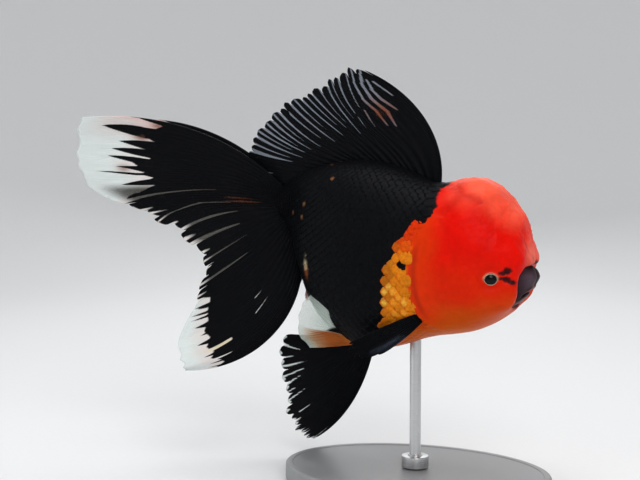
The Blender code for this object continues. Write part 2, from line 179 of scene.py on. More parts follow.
def band(start, full, fading, end, value):
    """1 from full to fading, 0 before start and after end, and smooth between them."""
    return step(start, full, value) * step(end, fading, value)


def bump(distance, reach):
    return np.exp(-((distance / reach) ** 2))


def away_from(places, middle, radii=1.0):
    """Distances of places from a middle, in units of radii."""
    return np.linalg.norm((places - np.array(middle)) / radii, axis=1)


def deselect():
    for obj in bpy.context.selected_objects:
        obj.select_set(False)


def only(obj):
    """Leaves obj alone selected and active."""
    deselect()
    obj.select_set(True)
    bpy.context.view_layer.objects.active = obj
    return obj


def named(label):
    obj = bpy.context.active_object
    obj.name = obj.data.name = label
    return obj


def vectors(data, key):
    found = np.empty(len(data) * 3)
    data.foreach_get(key, found)
    return found.reshape(-1, 3)


def points(obj):
    return vectors(obj.data.vertices, "co")


def normals(obj):
    return vectors(obj.data.vertex_normals, "vector")


def move_points(obj, places):
    obj.data.vertices.foreach_set("co", np.ascontiguousarray(places, float).ravel())
    obj.data.update()


def datum(places):
    """Places of the model's frame, in mm from the fish's datum."""
    return places / MM - (0, 0, FISH_LIFT)


def framed(places):
    """The other way round: datum millimetres to metres of the model's frame."""
    return (np.asarray(places, float) + (0, 0, FISH_LIFT)) * MM


def modify(obj, kind, **settings):
    """Adds a modifier and applies it."""
    modifier = obj.modifiers.new(kind, kind)
    for key, value in settings.items():
        setattr(modifier, key, value)
    only(obj)
    bpy.ops.object.modifier_apply(modifier=modifier.name)
    return obj


def place_in_mesh(obj):
    only(obj)
    bpy.ops.object.transform_apply(location=True, rotation=True, scale=True)
    return obj


@contextmanager
def mesh_of(obj):
    """Opens an object's mesh for changes and puts it back."""
    bm = bmesh.new()
    bm.from_mesh(obj.data)
    yield bm
    bm.to_mesh(obj.data)
    bm.free()


def edit_faces(obj, chosen):
    """Opens an object in edit mode with the chosen faces selected."""
    only(obj)
    bpy.ops.object.mode_set(mode="EDIT")
    bm = bmesh.from_edit_mesh(obj.data)
    bm.select_mode = {"FACE"}
    for face in bm.faces:
        face.select = chosen(face)
    bm.select_flush_mode()
    bmesh.update_edit_mesh(obj.data)


def grid(label, columns, rows):
    """A flat grid primitive, with each vertex's column and row."""
    deselect()
    bpy.ops.mesh.primitive_grid_add(x_subdivisions=columns, y_subdivisions=rows, size=1.0)
    obj = named(label)
    column, row = (np.rint((points(obj)[:, :2] + 0.5) * (columns, rows)).astype(int)).T
    return obj, column, row


def attribute(obj, label, values):
    """Stores a number, or a colour with its alpha, for every vertex."""
    values = np.asarray(values, np.float32)
    kind, key = ("FLOAT_COLOR", "color") if values.ndim == 2 else ("FLOAT", "value")
    obj.data.attributes.new(label, kind, "POINT").data.foreach_set(key, values.ravel())


def opaque(colour):
    return np.column_stack([colour, np.ones(len(colour))])


def uv_map(obj, label, values):
    """Stores a map that has one place for every vertex."""
    corners = np.empty(len(obj.data.loops), int)
    obj.data.loops.foreach_get("vertex_index", corners)
    layer = obj.data.uv_layers.new(name=label)
    layer.data.foreach_set("uv", np.asarray(values[corners], np.float32).ravel())


def noise_at(places, size, seed=0.0):
    """Smooth noise from -1 to 1 with lumps of size, at places in mm."""
    offset = Vector((seed * 17.3, seed * 7.1, seed * 3.7))
    return np.array([noise.noise(Vector(p) / size + offset) for p in places])


def cells_at(places, size, seed=0.0):
    """Distances to the nearest of scattered points, in units of size."""
    offset = Vector((seed * 11.9, seed * 5.3, seed * 9.1))
    return np.array([noise.voronoi(Vector(p) / size + offset)[0][0] for p in places])


def smooth_row(rows, place):
    """The row of a table at a place between its rows, on a smooth curve through them."""
    index = max(k for k in range(len(rows) - 1) if k == 0 or rows[k][0] <= place)
    nearby = (np.array(rows[min(max(k, 0), len(rows) - 1)]) for k in range(index - 1, index + 3))
    before, first, second, after = nearby
    span = second[0] - first[0]
    t = min(max((place - first[0]) / span, 0.0), 1.0)
    slope_in = (second - before) / (second[0] - before[0]) * span
    slope_out = (after - first) / (after[0] - first[0]) * span
    held = (2 * t**3 - 3 * t**2 + 1) * first + (t**3 - 2 * t**2 + t) * slope_in
    return (held + (3 * t**2 - 2 * t**3) * second + (t**3 - t**2) * slope_out)[1:]


def finish_piece(obj, label, material, stands_for=()):
    """Gives a finished piece its name, material, body and slot."""
    obj.name = obj.data.name = label
    obj.data.materials.clear()
    obj.data.materials.append(material)
    only(obj)
    bpy.ops.object.shade_smooth()
    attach(obj, "root")
    if stands_for:
        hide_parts(*stands_for)
    return obj


def fill(tree, node, inputs):
    """Sets inputs of a node to values, or links them to outputs; a node stands for its first output."""
    for key, value in inputs.items():
        if isinstance(value, bpy.types.Node):
            value = value.outputs[0]
        if isinstance(value, bpy.types.NodeSocket):
            tree.links.new(value, node.inputs[key])
        else:
            node.inputs[key].default_value = value


def add_node(tree, kind, inputs=None, **settings):
    """Adds a node of a kind such as Math, with its inputs and settings."""
    node = tree.nodes.new("ShaderNode" + kind)
    for key, value in settings.items():
        setattr(node, key, value)
    fill(tree, node, inputs or {})
    return node


NOISE_SPAN = {"From Min": 0.3, "From Max": 0.7}  # between which nearly all of a noise texture lies


def shaded(tree, colour, noise_value, low, high):
    """A colour that a noise makes darker, down to low, and lighter, up to high."""
    shade = add_node(tree, "MapRange", {"Value": noise_value, **NOISE_SPAN, "To Min": low, "To Max": high})
    return add_node(tree, "VectorMath", {0: colour, 1: shade}, operation="MULTIPLY")


def new_material(label, **values):
    """A Principled material with plain values: returns it, its tree, its shader and Object coordinates."""
    made = bpy.data.materials.new(label)
    made.use_nodes = True
    tree = made.node_tree
    shader = tree.nodes["Principled BSDF"]
    fill(tree, shader, {key.replace("_", " "): value for key, value in values.items()})
    return made, tree, shader, add_node(tree, "TexCoord").outputs["Object"]


# ---------------------------------------------------------------- skin


def body_tube(depth):
    """The body from stalk to snout as one closed smooth tube, lying depth mm inside the CAD form."""
    obj, column, row = grid("skin", BODY_SIDES, BODY_RINGS + 1)
    first, last = BODY_STATIONS[0][0], BODY_STATIONS[-1][0]
    ring = np.clip(row - 1, 0, BODY_RINGS - 1) / (BODY_RINGS - 1)
    share = 0.45 * (0.5 - 0.5 * np.cos(np.pi * ring)) + 0.55 * ring
    table = {s: smooth_row(BODY_STATIONS, first + (last - first) * s) for s in np.unique(share)}
    top, bottom, half, widest = np.array([table[s] for s in share]).T
    turn = 2 * np.pi * column / BODY_SIDES
    power = 2 / BODY_FULLNESS
    across = half * np.sign(np.cos(turn)) * np.abs(np.cos(turn)) ** power
    rise = np.sign(np.sin(turn)) * np.abs(np.sin(turn)) ** power
    height = widest + np.where(rise > 0, top - widest, widest - bottom) * rise
    places = np.column_stack([first + (last - first) * share, across, height])
    for pole, end, beyond in ((0, 1, STALK_POLE), (BODY_RINGS + 1, BODY_RINGS, SNOUT_POLE)):
        middle = places[(row == end) & (column < BODY_SIDES)].mean(0) + (beyond, 0, 0)
        places[row == pole] = middle
    move_points(obj, framed(places))
    # The grid's seam and ends close up, and its faces turn outwards
    with mesh_of(obj) as bm:
        bmesh.ops.remove_doubles(bm, verts=bm.verts, dist=SEAM)
        bmesh.ops.dissolve_degenerate(bm, edges=bm.edges, dist=SEAM)
        bmesh.ops.recalc_face_normals(bm, faces=bm.faces)
    places = datum(points(obj))
    swell = np.full(len(places), -depth)
    for (x, y, z), reach, height in SWELLINGS:
        for side in (1, -1) if y else (1,):
            swell += height * bump(away_from(places, (x, y * side, z)), reach)
    move_points(obj, framed(places + normals(obj) * swell[:, None]))
    return obj


def rounded_form(label, middle, radii):
    """An oval form from a sphere primitive."""
    deselect()
    bpy.ops.mesh.primitive_uv_sphere_add(segments=64, ring_count=40, radius=1.0, location=framed([middle])[0])
    obj = named(label)
    obj.scale = Vector(radii) * MM
    return place_in_mesh(obj)


def keep_biggest_shell(obj):
    """Deletes the inner shells of a remeshed form."""
    with mesh_of(obj) as bm:
        left, shells = set(bm.verts), []
        while left:
            shell = [left.pop()]
            for vertex in shell:  # grows as it is walked
                found = {other for edge in vertex.link_edges for other in edge.verts} & left
                left -= found
                shell += found
            shells.append(shell)
        keep = max(shells, key=len)
        inner = [vertex for shell in shells if shell is not keep for vertex in shell]
        bmesh.ops.delete(bm, geom=inner, context="VERTS")


# Lobes of the growth, in mm on the right side: place, how much further than half way
# to its neighbours each reaches, and how deep the folds round it are
LOBES = (
    (15.5, -18, 123, -1.5, 0.9), (17, -6, 131, 0, 0.8), (33, -12, 131, 2, 1), (28, -28, 111, 0, 1),
    (45, -13, 114.5, 0, 0.5), (51.5, -5, 99.5, -1, 0.6), (47.5, -19, 99, 0, 0.4),
    (14, -29, 100, 0, 0.4), (45, -22, 79, 0, 0.3), (27, -28, 76, 0, 0.3),
)


def sides(places):
    """The places with both sides of the fish laid over its right side."""
    return places * (1, 0, 1) - np.abs(places) * (0, 1, 0)


def growth_share(places):
    """How much of the pebbled growth covers a place: all on the crown, little on the cheeks."""
    p = sides(places)
    x, _, z = p.T
    crown = step(94, 112, z + 0.25 * x - 8) * step(11, 17, x + 0.2 * (z - 120))
    cheek = 0.4 * step(12, 20, x) * step(60, 72, z)
    muzzle = bump(away_from(p, (50, 0, 85), (1, 1, 1.1)), 9.0)
    return np.clip(np.maximum(crown, cheek) - 1.2 * muzzle, 0, 1)


def gill_edge(height):
    """The rear edge of the gill cover along the body, in mm, at a height."""
    return 17.0 - 12.6 * np.sqrt(np.clip(1 - ((height - 90) / 25.0) ** 2, 0, 1))


def growth_folds(places):
    """How deep in the soft folds between the growth's lobes a place lies, from 0 to 1."""
    p, lobes = sides(places), np.array(LOBES)
    x, _, z = p.T
    warped = p + 2.2 * np.column_stack([noise_at(places, 11.0, seed) for seed in (11, 12, 13)])
    reach = np.array([away_from(warped, lobe[:3]) - lobe[3] for lobe in lobes])
    nearest = np.argsort(reach, axis=0)[:2]
    first, second = np.take_along_axis(reach, nearest, 0)
    deep = lobes[:, 4][nearest].prod(0)
    high = step(12, 18, x + 0.3 * (z - 118)) * step(90, 104, z + 0.3 * x)
    broken = np.clip(0.55 + 0.6 * noise_at(places, 7.0, 15), 0, 1)
    return high * deep * (0.16 * broken * bump(second - first, 2.2) + 0.74 * bump(second - first, 6.5))


# Rounded pebbles of the growth: their size and height in mm, and the seed of their noise
PEBBLES = ((6.5, 0.42, 3), (3.0, 0.30, 4), (1.7, 0.13, 5))


def head_relief(places):
    """How far the skin's finer forms stand out from the body tube, in mm."""
    x, _, z = sides(places).T
    growth = growth_share(places)
    wander = noise_at(places, 9.0, 1)
    relief = -1.15 * growth_folds(places) * (0.85 + 0.4 * wander)
    # Pebbles are clearest on the front of the crown and fade out over the cheeks
    front = step(30, 48, x + 0.2 * (z - 110))
    brow = step(46, 51, x) * band(94, 98, 108, 116, z)
    clear = growth * (0.35 + 0.65 * front + 0.6 * brow)
    for size, height, seed in PEBBLES:
        from_pebble = cells_at(places + 0.16 * size * noise_at(places, size, 2 + seed)[:, None], size, seed)
        relief += clear * height * (0.5 - step(0.05, 0.75, from_pebble))
    relief += growth * (0.20 * wander - 0.15) - 0.7 * step(120, 128, z) * step(12, 20, x)
    # The gill cover stands proud, and ends in a soft edge over the first scales
    edge = gill_edge(z)
    gill = band(60, 70, 106, 116, z)
    relief += 0.6 * gill * step(edge - 0.7, edge + 0.7, x) * step(30, 12, x)
    relief -= 0.25 * gill * bump(x - edge + 1.1, 1.2)
    return relief


# The muzzle lies in a fold between the cheeks, under the nose pad, in mm: its height, its half width
# and half height, and the place along the body and height of its foremost point
MUZZLE_HEIGHT, MUZZLE_HALF, MUZZLE_TALL = 83.9, 12.5, 9.0
MUZZLE_FRONT = (53.3, 87.3)
NOSE_PAD = (52.5, -5.6, 96.4)  # middle of the near pad, in mm


def from_muzzle(p):
    """0 in the middle of the muzzle, 1 in the fold round it."""
    across = np.abs(p[:, 1]) / MUZZLE_HALF
    # Its upper edge slopes down from the middle to the corners, under the nose pads
    up = (p[:, 2] - MUZZLE_HEIGHT) / MUZZLE_TALL
    up = np.where(up > 0, up * (1 + 0.30 * step(0.25, 0.9, across)), up)
    return (across**2.2 + np.abs(up) ** 2.2) ** (1 / 2.2)


def shape_muzzle(places):
    """Sets the muzzle back into its fold, as a rounded snout that slopes back to the chin."""
    p = sides(places)
    x, y, z = p.T
    q = from_muzzle(p)
    foremost, level = MUZZLE_FRONT
    drop = np.where(z > level, 0.06 * (z - level) ** 2, 0.028 * (z - level) ** 2 + 0.32 * (level - z))
    wanted = foremost - drop - 0.012 * y * y - 0.00019 * y**4 - 1.4 * step(0.82, 1.02, q)
    # Near bulb of the upper lip on each side, and the shallow dip between them
    wanted += 0.7 * bump(np.hypot((y + 5.4) / 1.1, z - 86.4), 3.4) - 0.5 * bump(y, 1.5) * step(80, 84, z)
    # The mouth: a slit that turns down at its corners, between two thin lips
    line = 81.4 - 0.035 * y * y
    lips = 0.6 * bump(z - line - 1.8, 1.0) + 0.4 * bump(z - line + 1.8, 1.1)
    wanted += step(-7.6, -5.6, y) * (lips - 2.0 * bump(z - line, 0.55))
    share = step(1.15, 0.98, q) * step(40.5, 43.5, x)
    placed = places.copy()
    placed[:, 0] += share * (wanted - x)
    return placed


# Rounded forms of the face: middle, radii, reach and height in mm, on the right side
FACE_FORMS = (
    (NOSE_PAD, (1, 1.1, 1), 4.4, 1.5),
    ((46.0, -19.0, 82.5), (1, 1, 1.4), 4.2, 0.9),  # cheek, beside the muzzle
    ((48.5, -17.0, 95.5), (1, 1.1, 0.9), 3.6, 0.6),  # brow, over the nostrils
    ((45.2, -22.0, 91.0), (1, 1, 1), 1.2, -1.3),  # pit of a nostril
    ((45.3, -22.0, 87.7), (1, 1, 1), 1.2, -1.3),  # its other pit
    ((45.6, -21.8, 89.2), (1, 1, 1), 0.9, 0.8),  # the flap between them
)


def face_relief(places):
    """The folds round the muzzle, the pads beside it and the nostrils, in mm."""
    p = sides(places)
    x, y, z = p.T
    q = from_muzzle(p)
    front = step(42, 46, x)
    relief = -0.9 * bump((q - 1.07) * 9.0, 1.2) * front
    # The cheeks stand back beside the muzzle, so that it juts out between them
    relief -= 3.1 * step(1.65, 1.05, q) * step(-3.5, -8.0, y) * band(72, 77, 92, 97, z) * front
    # A dip parts the nose pads
    dip = 0.9 * bump(y, 1.5) + 0.5 * bump(away_from(p, (52.0, 0.0, 99.0)), 6.5)
    relief -= dip * band(93, 97, 101, 106, z) * front
    for middle, radii, reach, height in FACE_FORMS:
        relief += height * bump(away_from(p, middle, radii), reach)
    return relief


def drop_nose_pads(places):
    """Lets the nose pads hang a little over the muzzle."""
    placed = places.copy()
    placed[:, 2] -= 1.3 * bump(away_from(sides(places), np.array(NOSE_PAD) - (0, 0, 1.5)), 4.4)
    return placed


EYE_OPENING = 2.75  # mm, half the length of the opening in the skin
EYE_LEVEL = 1.24  # how many times longer than tall the opening is


def set_eyes(places):
    """Opens the skin over each eye and raises a fleshy rim round it; returns the new places."""
    placed = places.copy()
    for side in (1, -1):
        middle = np.array(EYE_MIDDLE) * (1, side, 1)
        turn = math.radians(EYE_TURN)
        axis = np.array([math.sin(turn), side * math.cos(turn), 0.0])
        away = places - middle
        along = away @ axis
        level = np.linalg.norm(away[:, :2] - along[:, None] * axis[:2], axis=1)
        near = (along > -2) & (np.hypot(level, away[:, 2]) < 9)
        true, oval = np.hypot(level, away[:, 2])[near], np.hypot(level, away[:, 2] * EYE_LEVEL)[near]
        ball = np.sqrt(np.clip(EYE_RADIUS**2 - true**2, 0, None))
        edge = math.sqrt(EYE_RADIUS**2 - EYE_OPENING**2)
        beyond = oval - EYE_OPENING
        rim = np.maximum(ball, edge) + 0.10 - 0.20 * beyond + 0.16 * bump(beyond - 0.6, 0.5)
        inside = np.where(beyond < 0, ball - 1.6 * step(0, 0.5, -beyond) - 0.1, rim)
        share = step(6.6, 3.6, oval)
        wanted = share * inside + (1 - share) * along[near]
        placed[near] += (wanted - along[near])[:, None] * axis
    return placed


# ---------------------------------------------------------------- markings

# Rear edge of the red and gold, as (height, place along the body) in mm on the flank
MARK_EDGE = (
    (50, -15), (60, -12), (68, -8.4), (76, -6.2), (84.6, -5.2), (94.3, -4), (101.4, -1.2), (106.8, 3.5),
    (110.6, 7.6), (112, 12.8), (115, 14.2), (117, 16), (120.4, 15.6), (123.2, 14.8), (124.7, 15.6),
    (126.2, 17.6), (128, 18.6), (140, 19.5),
)
SPOTS = (((0.4, -30.1, 93.3), 2.0), ((0.4, -29.8, 98.9), 1.0), ((-2.2, -30.2, 88.0), 0.6))


def ahead_of_mark(places):
    """How far a place lies ahead of the rear edge of the red and gold, in mm."""
    heights, edge = np.array(MARK_EDGE).T
    return places[:, 0] - np.interp(places[:, 2], heights, edge)


# Marks of the face: middle and radii in mm, on the right side
NICKS = (((52.0, -6.6, 95.6), (2, 0.8, 1.0)), ((50.5, -9.4, 101.0), (2, 0.6, 1.6)))
NOSTRIL_MARKS = (
    ((45.2, -22.3, 91.4), (1.7, 3, 1.5)), ((43.4, -22.8, 90.3), (1.6, 3, 0.8)),
    ((42.9, -23.4, 88.2), (1.5, 3, 0.7)), ((44.9, -22.4, 87.9), (1.8, 3, 1.15)),
    ((47, -21.1, 86.7), (1.5, 3, 0.9)),
)
NOSTRIL_LINE = np.array(((47.0, -20.8, 86.4), (1.0, 7.0, -1.8)))  # its start and its way to the fold, in mm


def markings(places, edge_noise=None):
    """The fish's colours at places in datum mm: its own markings, with painted highlights on the crown, upper
    lip and eye rims and painted shade in the folds and grooves.

    Scales give a noise of their own for the edge of the black, which is then sharp.
    """
    p = sides(places)
    x, y, z = p.T
    wander = noise_at(places, 8.0, 5)
    fine = noise_at(places, 2.2, 6)
    colour = plain("growth_red", len(p))
    # Painted highlight: paler pink-red over the top of the crown, where the top light falls
    paint(colour, "growth_highlight_pink", 0.85 * step(110, 129, z + 0.45 * (x - 30) + 4 * wander) * step(14, 22, x))
    # Painted shade: deeper red in the folds between the growth's lobes
    paint(colour, "growth_fold_shade", np.clip(0.7 * growth_folds(places), 0, 0.6) * step(14, 20, x))
    paint(colour, "cheek_orange", step(104, 84, z + 3 * wander + 0.25 * (x - 25)))
    paint(colour, "chin_tan", step(84, 68, z + 3 * wander - 0.10 * (x - 30)))
    gill = step(20, 8, x + 2.5 * wander - 0.10 * np.abs(z - 88))
    paint(colour, "gill_orange", gill * band(60, 75, 108, 122, z))
    paint(colour, "gold", step(5.6, 3.6, x + 0.8 * fine) * step(60, 72, z) * step(104, 95, z + 2 * fine))
    paint(colour, "throat_orange", step(70, 62, z + 2 * wander) * step(40, 28, x))
    brow = step(48.5, 52.5, x) * band(92, 96, 104, 116, z) * step(17, 9, np.abs(y))
    paint(colour, "nose_pink", brow * np.clip(0.36 + 0.22 * fine, 0, 1))
    # Nose pads: paler, with a darker nick between them and the brow
    paint(colour, "nose_pink", 0.6 * bump(away_from(p, NOSE_PAD, (1.3, 1, 1.1)), 5.0))
    for middle, radii in NICKS:
        paint(colour, "lip_red_and_groove_shade", 0.5 * bump(away_from(p, middle, radii) + 0.3 * fine, 1.2))
    # Muzzle: dark, running into dark red, as painted shade in the folds round it and as the lip's own colour
    # on the lower lip
    q = from_muzzle(p)
    front = step(40.5, 43.0, x)
    # Painted shade: dark red in the fold round the muzzle
    paint(colour, "lip_red_and_groove_shade", 0.75 * front * step(1.24, 1.08, q + 0.03 * fine))
    dark = front * step(1.16, 1.04, q + 0.05 * fine)
    paint(colour, "muzzle_dark", 0.97 * dark)
    # Painted highlight: paler grey-violet on the bulbs of the upper lip
    paint(colour, "lip_grey_highlight", 0.55 * dark * bump(np.hypot(y + 7.8, (z - 87.0) / 1.3), 3.2))
    bent = z + 0.035 * y * y  # the mouth turns down at its corners
    paint(colour, "lip_red_and_groove_shade", 0.4 * dark * step(80.5, 76.5, bent))
    paint(colour, "nose_pink", 0.30 * dark * bump(bent - 83.0, 0.4) * step(-7.4, -5.4, y))
    # Black marks round the nostrils, joined to the fold by a dark line
    ragged = noise_at(places, 1.1, 8)
    for middle, radii in NOSTRIL_MARKS:
        mark = away_from(p, middle, radii) + 0.25 * fine + 0.3 * ragged
        paint(colour, "nostril_dark", 0.93 * step(1.3, 0.7, mark))
    start, way = NOSTRIL_LINE
    along = np.clip((p - start) @ way / (way @ way), 0, 1)
    line = away_from(p - along[:, None] * way, start)
    paint(colour, "nostril_dark", 0.75 * bump(line, 1.0 + 0.3 * ragged))
    # Pale skin round the eye, painted only on its upper half as a painted highlight from the top light
    turn = math.radians(EYE_TURN)
    away = p - np.array(EYE_MIDDLE) * (1, -1, 1)
    along = away[:, 0] * math.sin(turn) - away[:, 1] * math.cos(turn)
    across = np.clip((away[:, :2] ** 2).sum(1) - along**2, 0, None)
    eye = np.sqrt(across + (EYE_LEVEL * away[:, 2]) ** 2) + 9 * (along < 0)
    paint(colour, "eye_rim_highlight", 0.45 * bump(eye - 3.0, 0.35) * step(-1.5, 1.5, away[:, 2]))
    # Painted shade: a darker line in the groove of the gill
    paint(colour, "lip_red_and_groove_shade", 0.45 * bump(x - gill_edge(z) - 3.4, 1.2) * band(68, 76, 96, 104, z))
    # Black from the mark's edge to the tail, and black spots on the gold
    if edge_noise is None:
        edge_noise, sharp, soft = 1.1 * fine + 0.8 * wander, 0.6, 0.35
    else:
        sharp = soft = 0.02
    colour = mixed(plain("velvet_black", len(p)), colour, step(-sharp, sharp, ahead_of_mark(p) + edge_noise))
    for middle, radius in SPOTS:
        away = away_from(p, middle) + 0.25 * fine * radius
        paint(colour, "velvet_black", step(radius * (1 + soft), radius * (1 - soft), away))
    return colour


def skin_material():
    """Moist fish skin and the soft fleshy growth of the head, under a thin film of slime.

    Light passes a little way into it, so folds stay warm; the film gives small soft highlights.
    """
    made, tree, shader, place = new_material(
        "moist_goldfish_skin",
        Roughness=0.42,
        IOR=1.38,
        Specular_IOR_Level=0.06,
        Subsurface_Weight=0.22,
        Subsurface_Scale=0.003,
        Subsurface_Radius=(1.0, 0.25, 0.12),
        Coat_Weight=0.04,
        Coat_Roughness=0.22,
        Coat_IOR=1.34,
    )
    colour = add_node(tree, "Attribute", attribute_name="Markings")
    growth = add_node(tree, "Attribute", attribute_name="Growth").outputs["Fac"]
    # Papillae of the growth, about 0.9 mm apart, and a finer grain of 0.25 mm
    papillae = add_node(tree, "TexVoronoi", {"Vector": place, "Scale": 1100.0}, feature="SMOOTH_F1")
    grain = add_node(tree, "TexNoise", {"Vector": place, "Scale": 2600.0, "Detail": 3.0})
    blotch = add_node(tree, "TexNoise", {"Vector": place, "Scale": 420.0, "Detail": 4.0, "Roughness": 0.6})
    blotched = shaded(tree, colour, blotch, 0.92, 1.05)
    depth = add_node(tree, "Math", {0: papillae, 1: growth}, operation="MULTIPLY")
    height = add_node(tree, "Math", {0: grain, 1: -0.9, 2: depth}, operation="MULTIPLY_ADD")
    dent = add_node(tree, "Bump", {"Height": height, "Strength": 0.35, "Distance": 0.00018}, invert=True)
    fill(tree, shader, {"Base Color": blotched, "Normal": dent})
    return made


# Places along the body, in mm, ahead of which the skin's faces are cut in four, the head's forms
# stand out, and the face's forms do
REFINED_FROM, HEAD_FROM, FACE_FROM = 8.0, 2.0, 40.0


def build_skin():
    """Models the skin over the whole body and head, and paints its markings."""
    sizes = bpy.context.scene.oranda_sizes
    skin = body_tube(sizes.coat_depth / MM)
    muzzle = rounded_form("muzzle_form", MUZZLE_MIDDLE, MUZZLE_RADII)
    only(skin)
    muzzle.select_set(True)
    bpy.ops.object.join()
    modify(skin, "REMESH", mode="VOXEL", voxel_size=sizes.skin_voxel, adaptivity=0.0)
    keep_biggest_shell(skin)
    modify(skin, "SMOOTH", factor=0.5, iterations=4)
    edit_faces(skin, lambda face: face.calc_center_median().x > REFINED_FROM * MM)
    bpy.ops.mesh.subdivide(number_cuts=1, smoothness=0.0)
    bpy.ops.object.mode_set(mode="OBJECT")
    modify(skin, "SMOOTH", factor=0.5, iterations=3)
    places = datum(points(skin))
    head, face = places[:, 0] > HEAD_FROM, places[:, 0] > FACE_FROM
    relief = np.zeros(len(places))
    relief[head] = head_relief(places[head])
    relief[face] += face_relief(places[face])
    placed = places + normals(skin) * relief[:, None]
    placed[face] = drop_nose_pads(shape_muzzle(placed[face]))
    move_points(skin, framed(set_eyes(placed)))
    modify(skin, "SMOOTH", factor=0.35, iterations=1)
    places = datum(points(skin))
    attribute(skin, "Markings", opaque(markings(places)))
    attribute(skin, "Growth", growth_share(places))
    return skin


# ---------------------------------------------------------------- scales

# The lateral line, from which the scale rows are counted, as (place along the body, height) in mm.
# Rings of scales cross it, leaning back more towards the tail.
LATERAL_LINE = (
    (14, 92), (0, 91), (-15, 91), (-30, 94), (-42, 100), (-51, 107.5), (-58, 114), (-67, 119.5),
)
RING_LEAN = 26.0  # degrees that the last ring leans back
LAST_SCALE = 0.55  # size of the last scales, as a share of the largest
SCALE_COLUMNS, SCALE_ROWS = 4, 6  # cells across and along one scale
SCALE_REACH, SCALE_SPREAD = 1.75, 1.12  # a scale's length and half width, in spacings
SCALE_SUNK, SCALE_RISE = 0.10, 0.30  # mm that a scale's root is sunk and its free edge stands up
SCALE_THICKNESS = 0.13  # mm
PATCH = 0.0015  # half the side of one scale's patch on the unwrapped skin
DIRECTION_SPAN = 4.0  # mm of the lateral line over which its direction is taken


def reach_along(line):
    """The distance along a line of places to each of them."""
    return np.concatenate([[0], np.cumsum(np.linalg.norm(np.diff(line, axis=0), axis=1))])


def on_lateral_line(travelled):
    """The place and direction on the lateral line, at a distance from its front end in mm."""
    line = np.array(LATERAL_LINE)
    reach = reach_along(line)
    ahead = travelled + DIRECTION_SPAN
    here, onward = (np.array([np.interp(d, reach, line[:, k]) for k in (0, 1)]) for d in (travelled, ahead))
    if ahead > reach[-1]:
        onward = here + line[-1] - line[-2]
    return here, (onward - here) / np.linalg.norm(onward - here)


def scale_roots(tree, side, length, width):
    """Where the scales of one side root: place, size, way back, whether on the line, and place on the map."""
    total = reach_along(np.array(LATERAL_LINE))[-1]
    turns = np.radians(np.linspace(-90, 90, 181))
    roots, travelled, ring = [], 0.0, 0
    while travelled < total:
        share = travelled / total
        size = 1 + (LAST_SCALE - 1) * share**1.5
        (x, z), (back_x, back_z) = on_lateral_line(travelled)
        lean = math.radians(RING_LEAN) * share
        up = Vector((math.sin(lean), 0, math.cos(lean)))
        start, out = Vector(framed([(x, 0, z)])[0]), Vector((0, side, 0))
        hits = [tree.ray_cast(start, out * math.cos(turn) + up * math.sin(turn))[0] for turn in turns]
        line = np.array([hit for hit in hits if hit is not None])
        reach = reach_along(line) / MM
        middle = reach[len(line) // 2]
        pitch = 2 * width * size
        for along in np.arange(middle % pitch + 0.5 * pitch * (ring % 2), reach[-1] - 0.2 * pitch, pitch):
            place = Vector([np.interp(along, reach, line[:, axis]) for axis in range(3)])
            x, _, z = datum(np.array(place))
            if x > (gill_edge(z) + 2.0 if 64 < z < 118 else 16.0 if z >= 118 else 14.0):
                continue  # the gill cover and the growth are bare
            on_map = (0.02 + 0.96 * share, 0.5 + side * (0.02 + 0.46 * along / reach[-1]))
            on_line = abs(along - middle) < 0.1 * pitch
            roots.append((place, size, Vector((back_x, 0, back_z)), on_line, on_map))
        travelled += 0.5 * length * size
        ring += 1
    return roots


def scale_shape():
    """One scale from a grid primitive: its vertices' places across and along it, half widths, and faces."""
    obj, column, row = grid("scale_shape", SCALE_COLUMNS, SCALE_ROWS)
    s, t = 2 * column / SCALE_COLUMNS - 1, row / SCALE_ROWS
    tip = np.clip((t - 0.5) / 0.5, 0, 1)
    half = (0.70 + 0.30 * step(0, 0.4, t)) * np.sqrt(np.clip(1 - tip**2.3, 0.012, 1))
    faces = np.array([face.vertices[:] for face in obj.data.polygons])
    bpy.data.objects.remove(obj)
    return s, t, half, faces


# Places of the few painted glints, small gold spots on the black of back and tail stalk, in mm on the right
# side
GLINT_FLECKS = (
    (-46.3, -19.9, 111.2), (-53.6, -14, 111), (-47, -19.5, 115.6), (-35, -4, 136.5), (-38, -8.5, 135),
    (-34.2, -19.2, 127.9),
)
VENT_STREAK = ((-42.6, -23.0, 89.5), (1.9, 5.0, 6.5))  # middle and radii of the orange streak before the tail


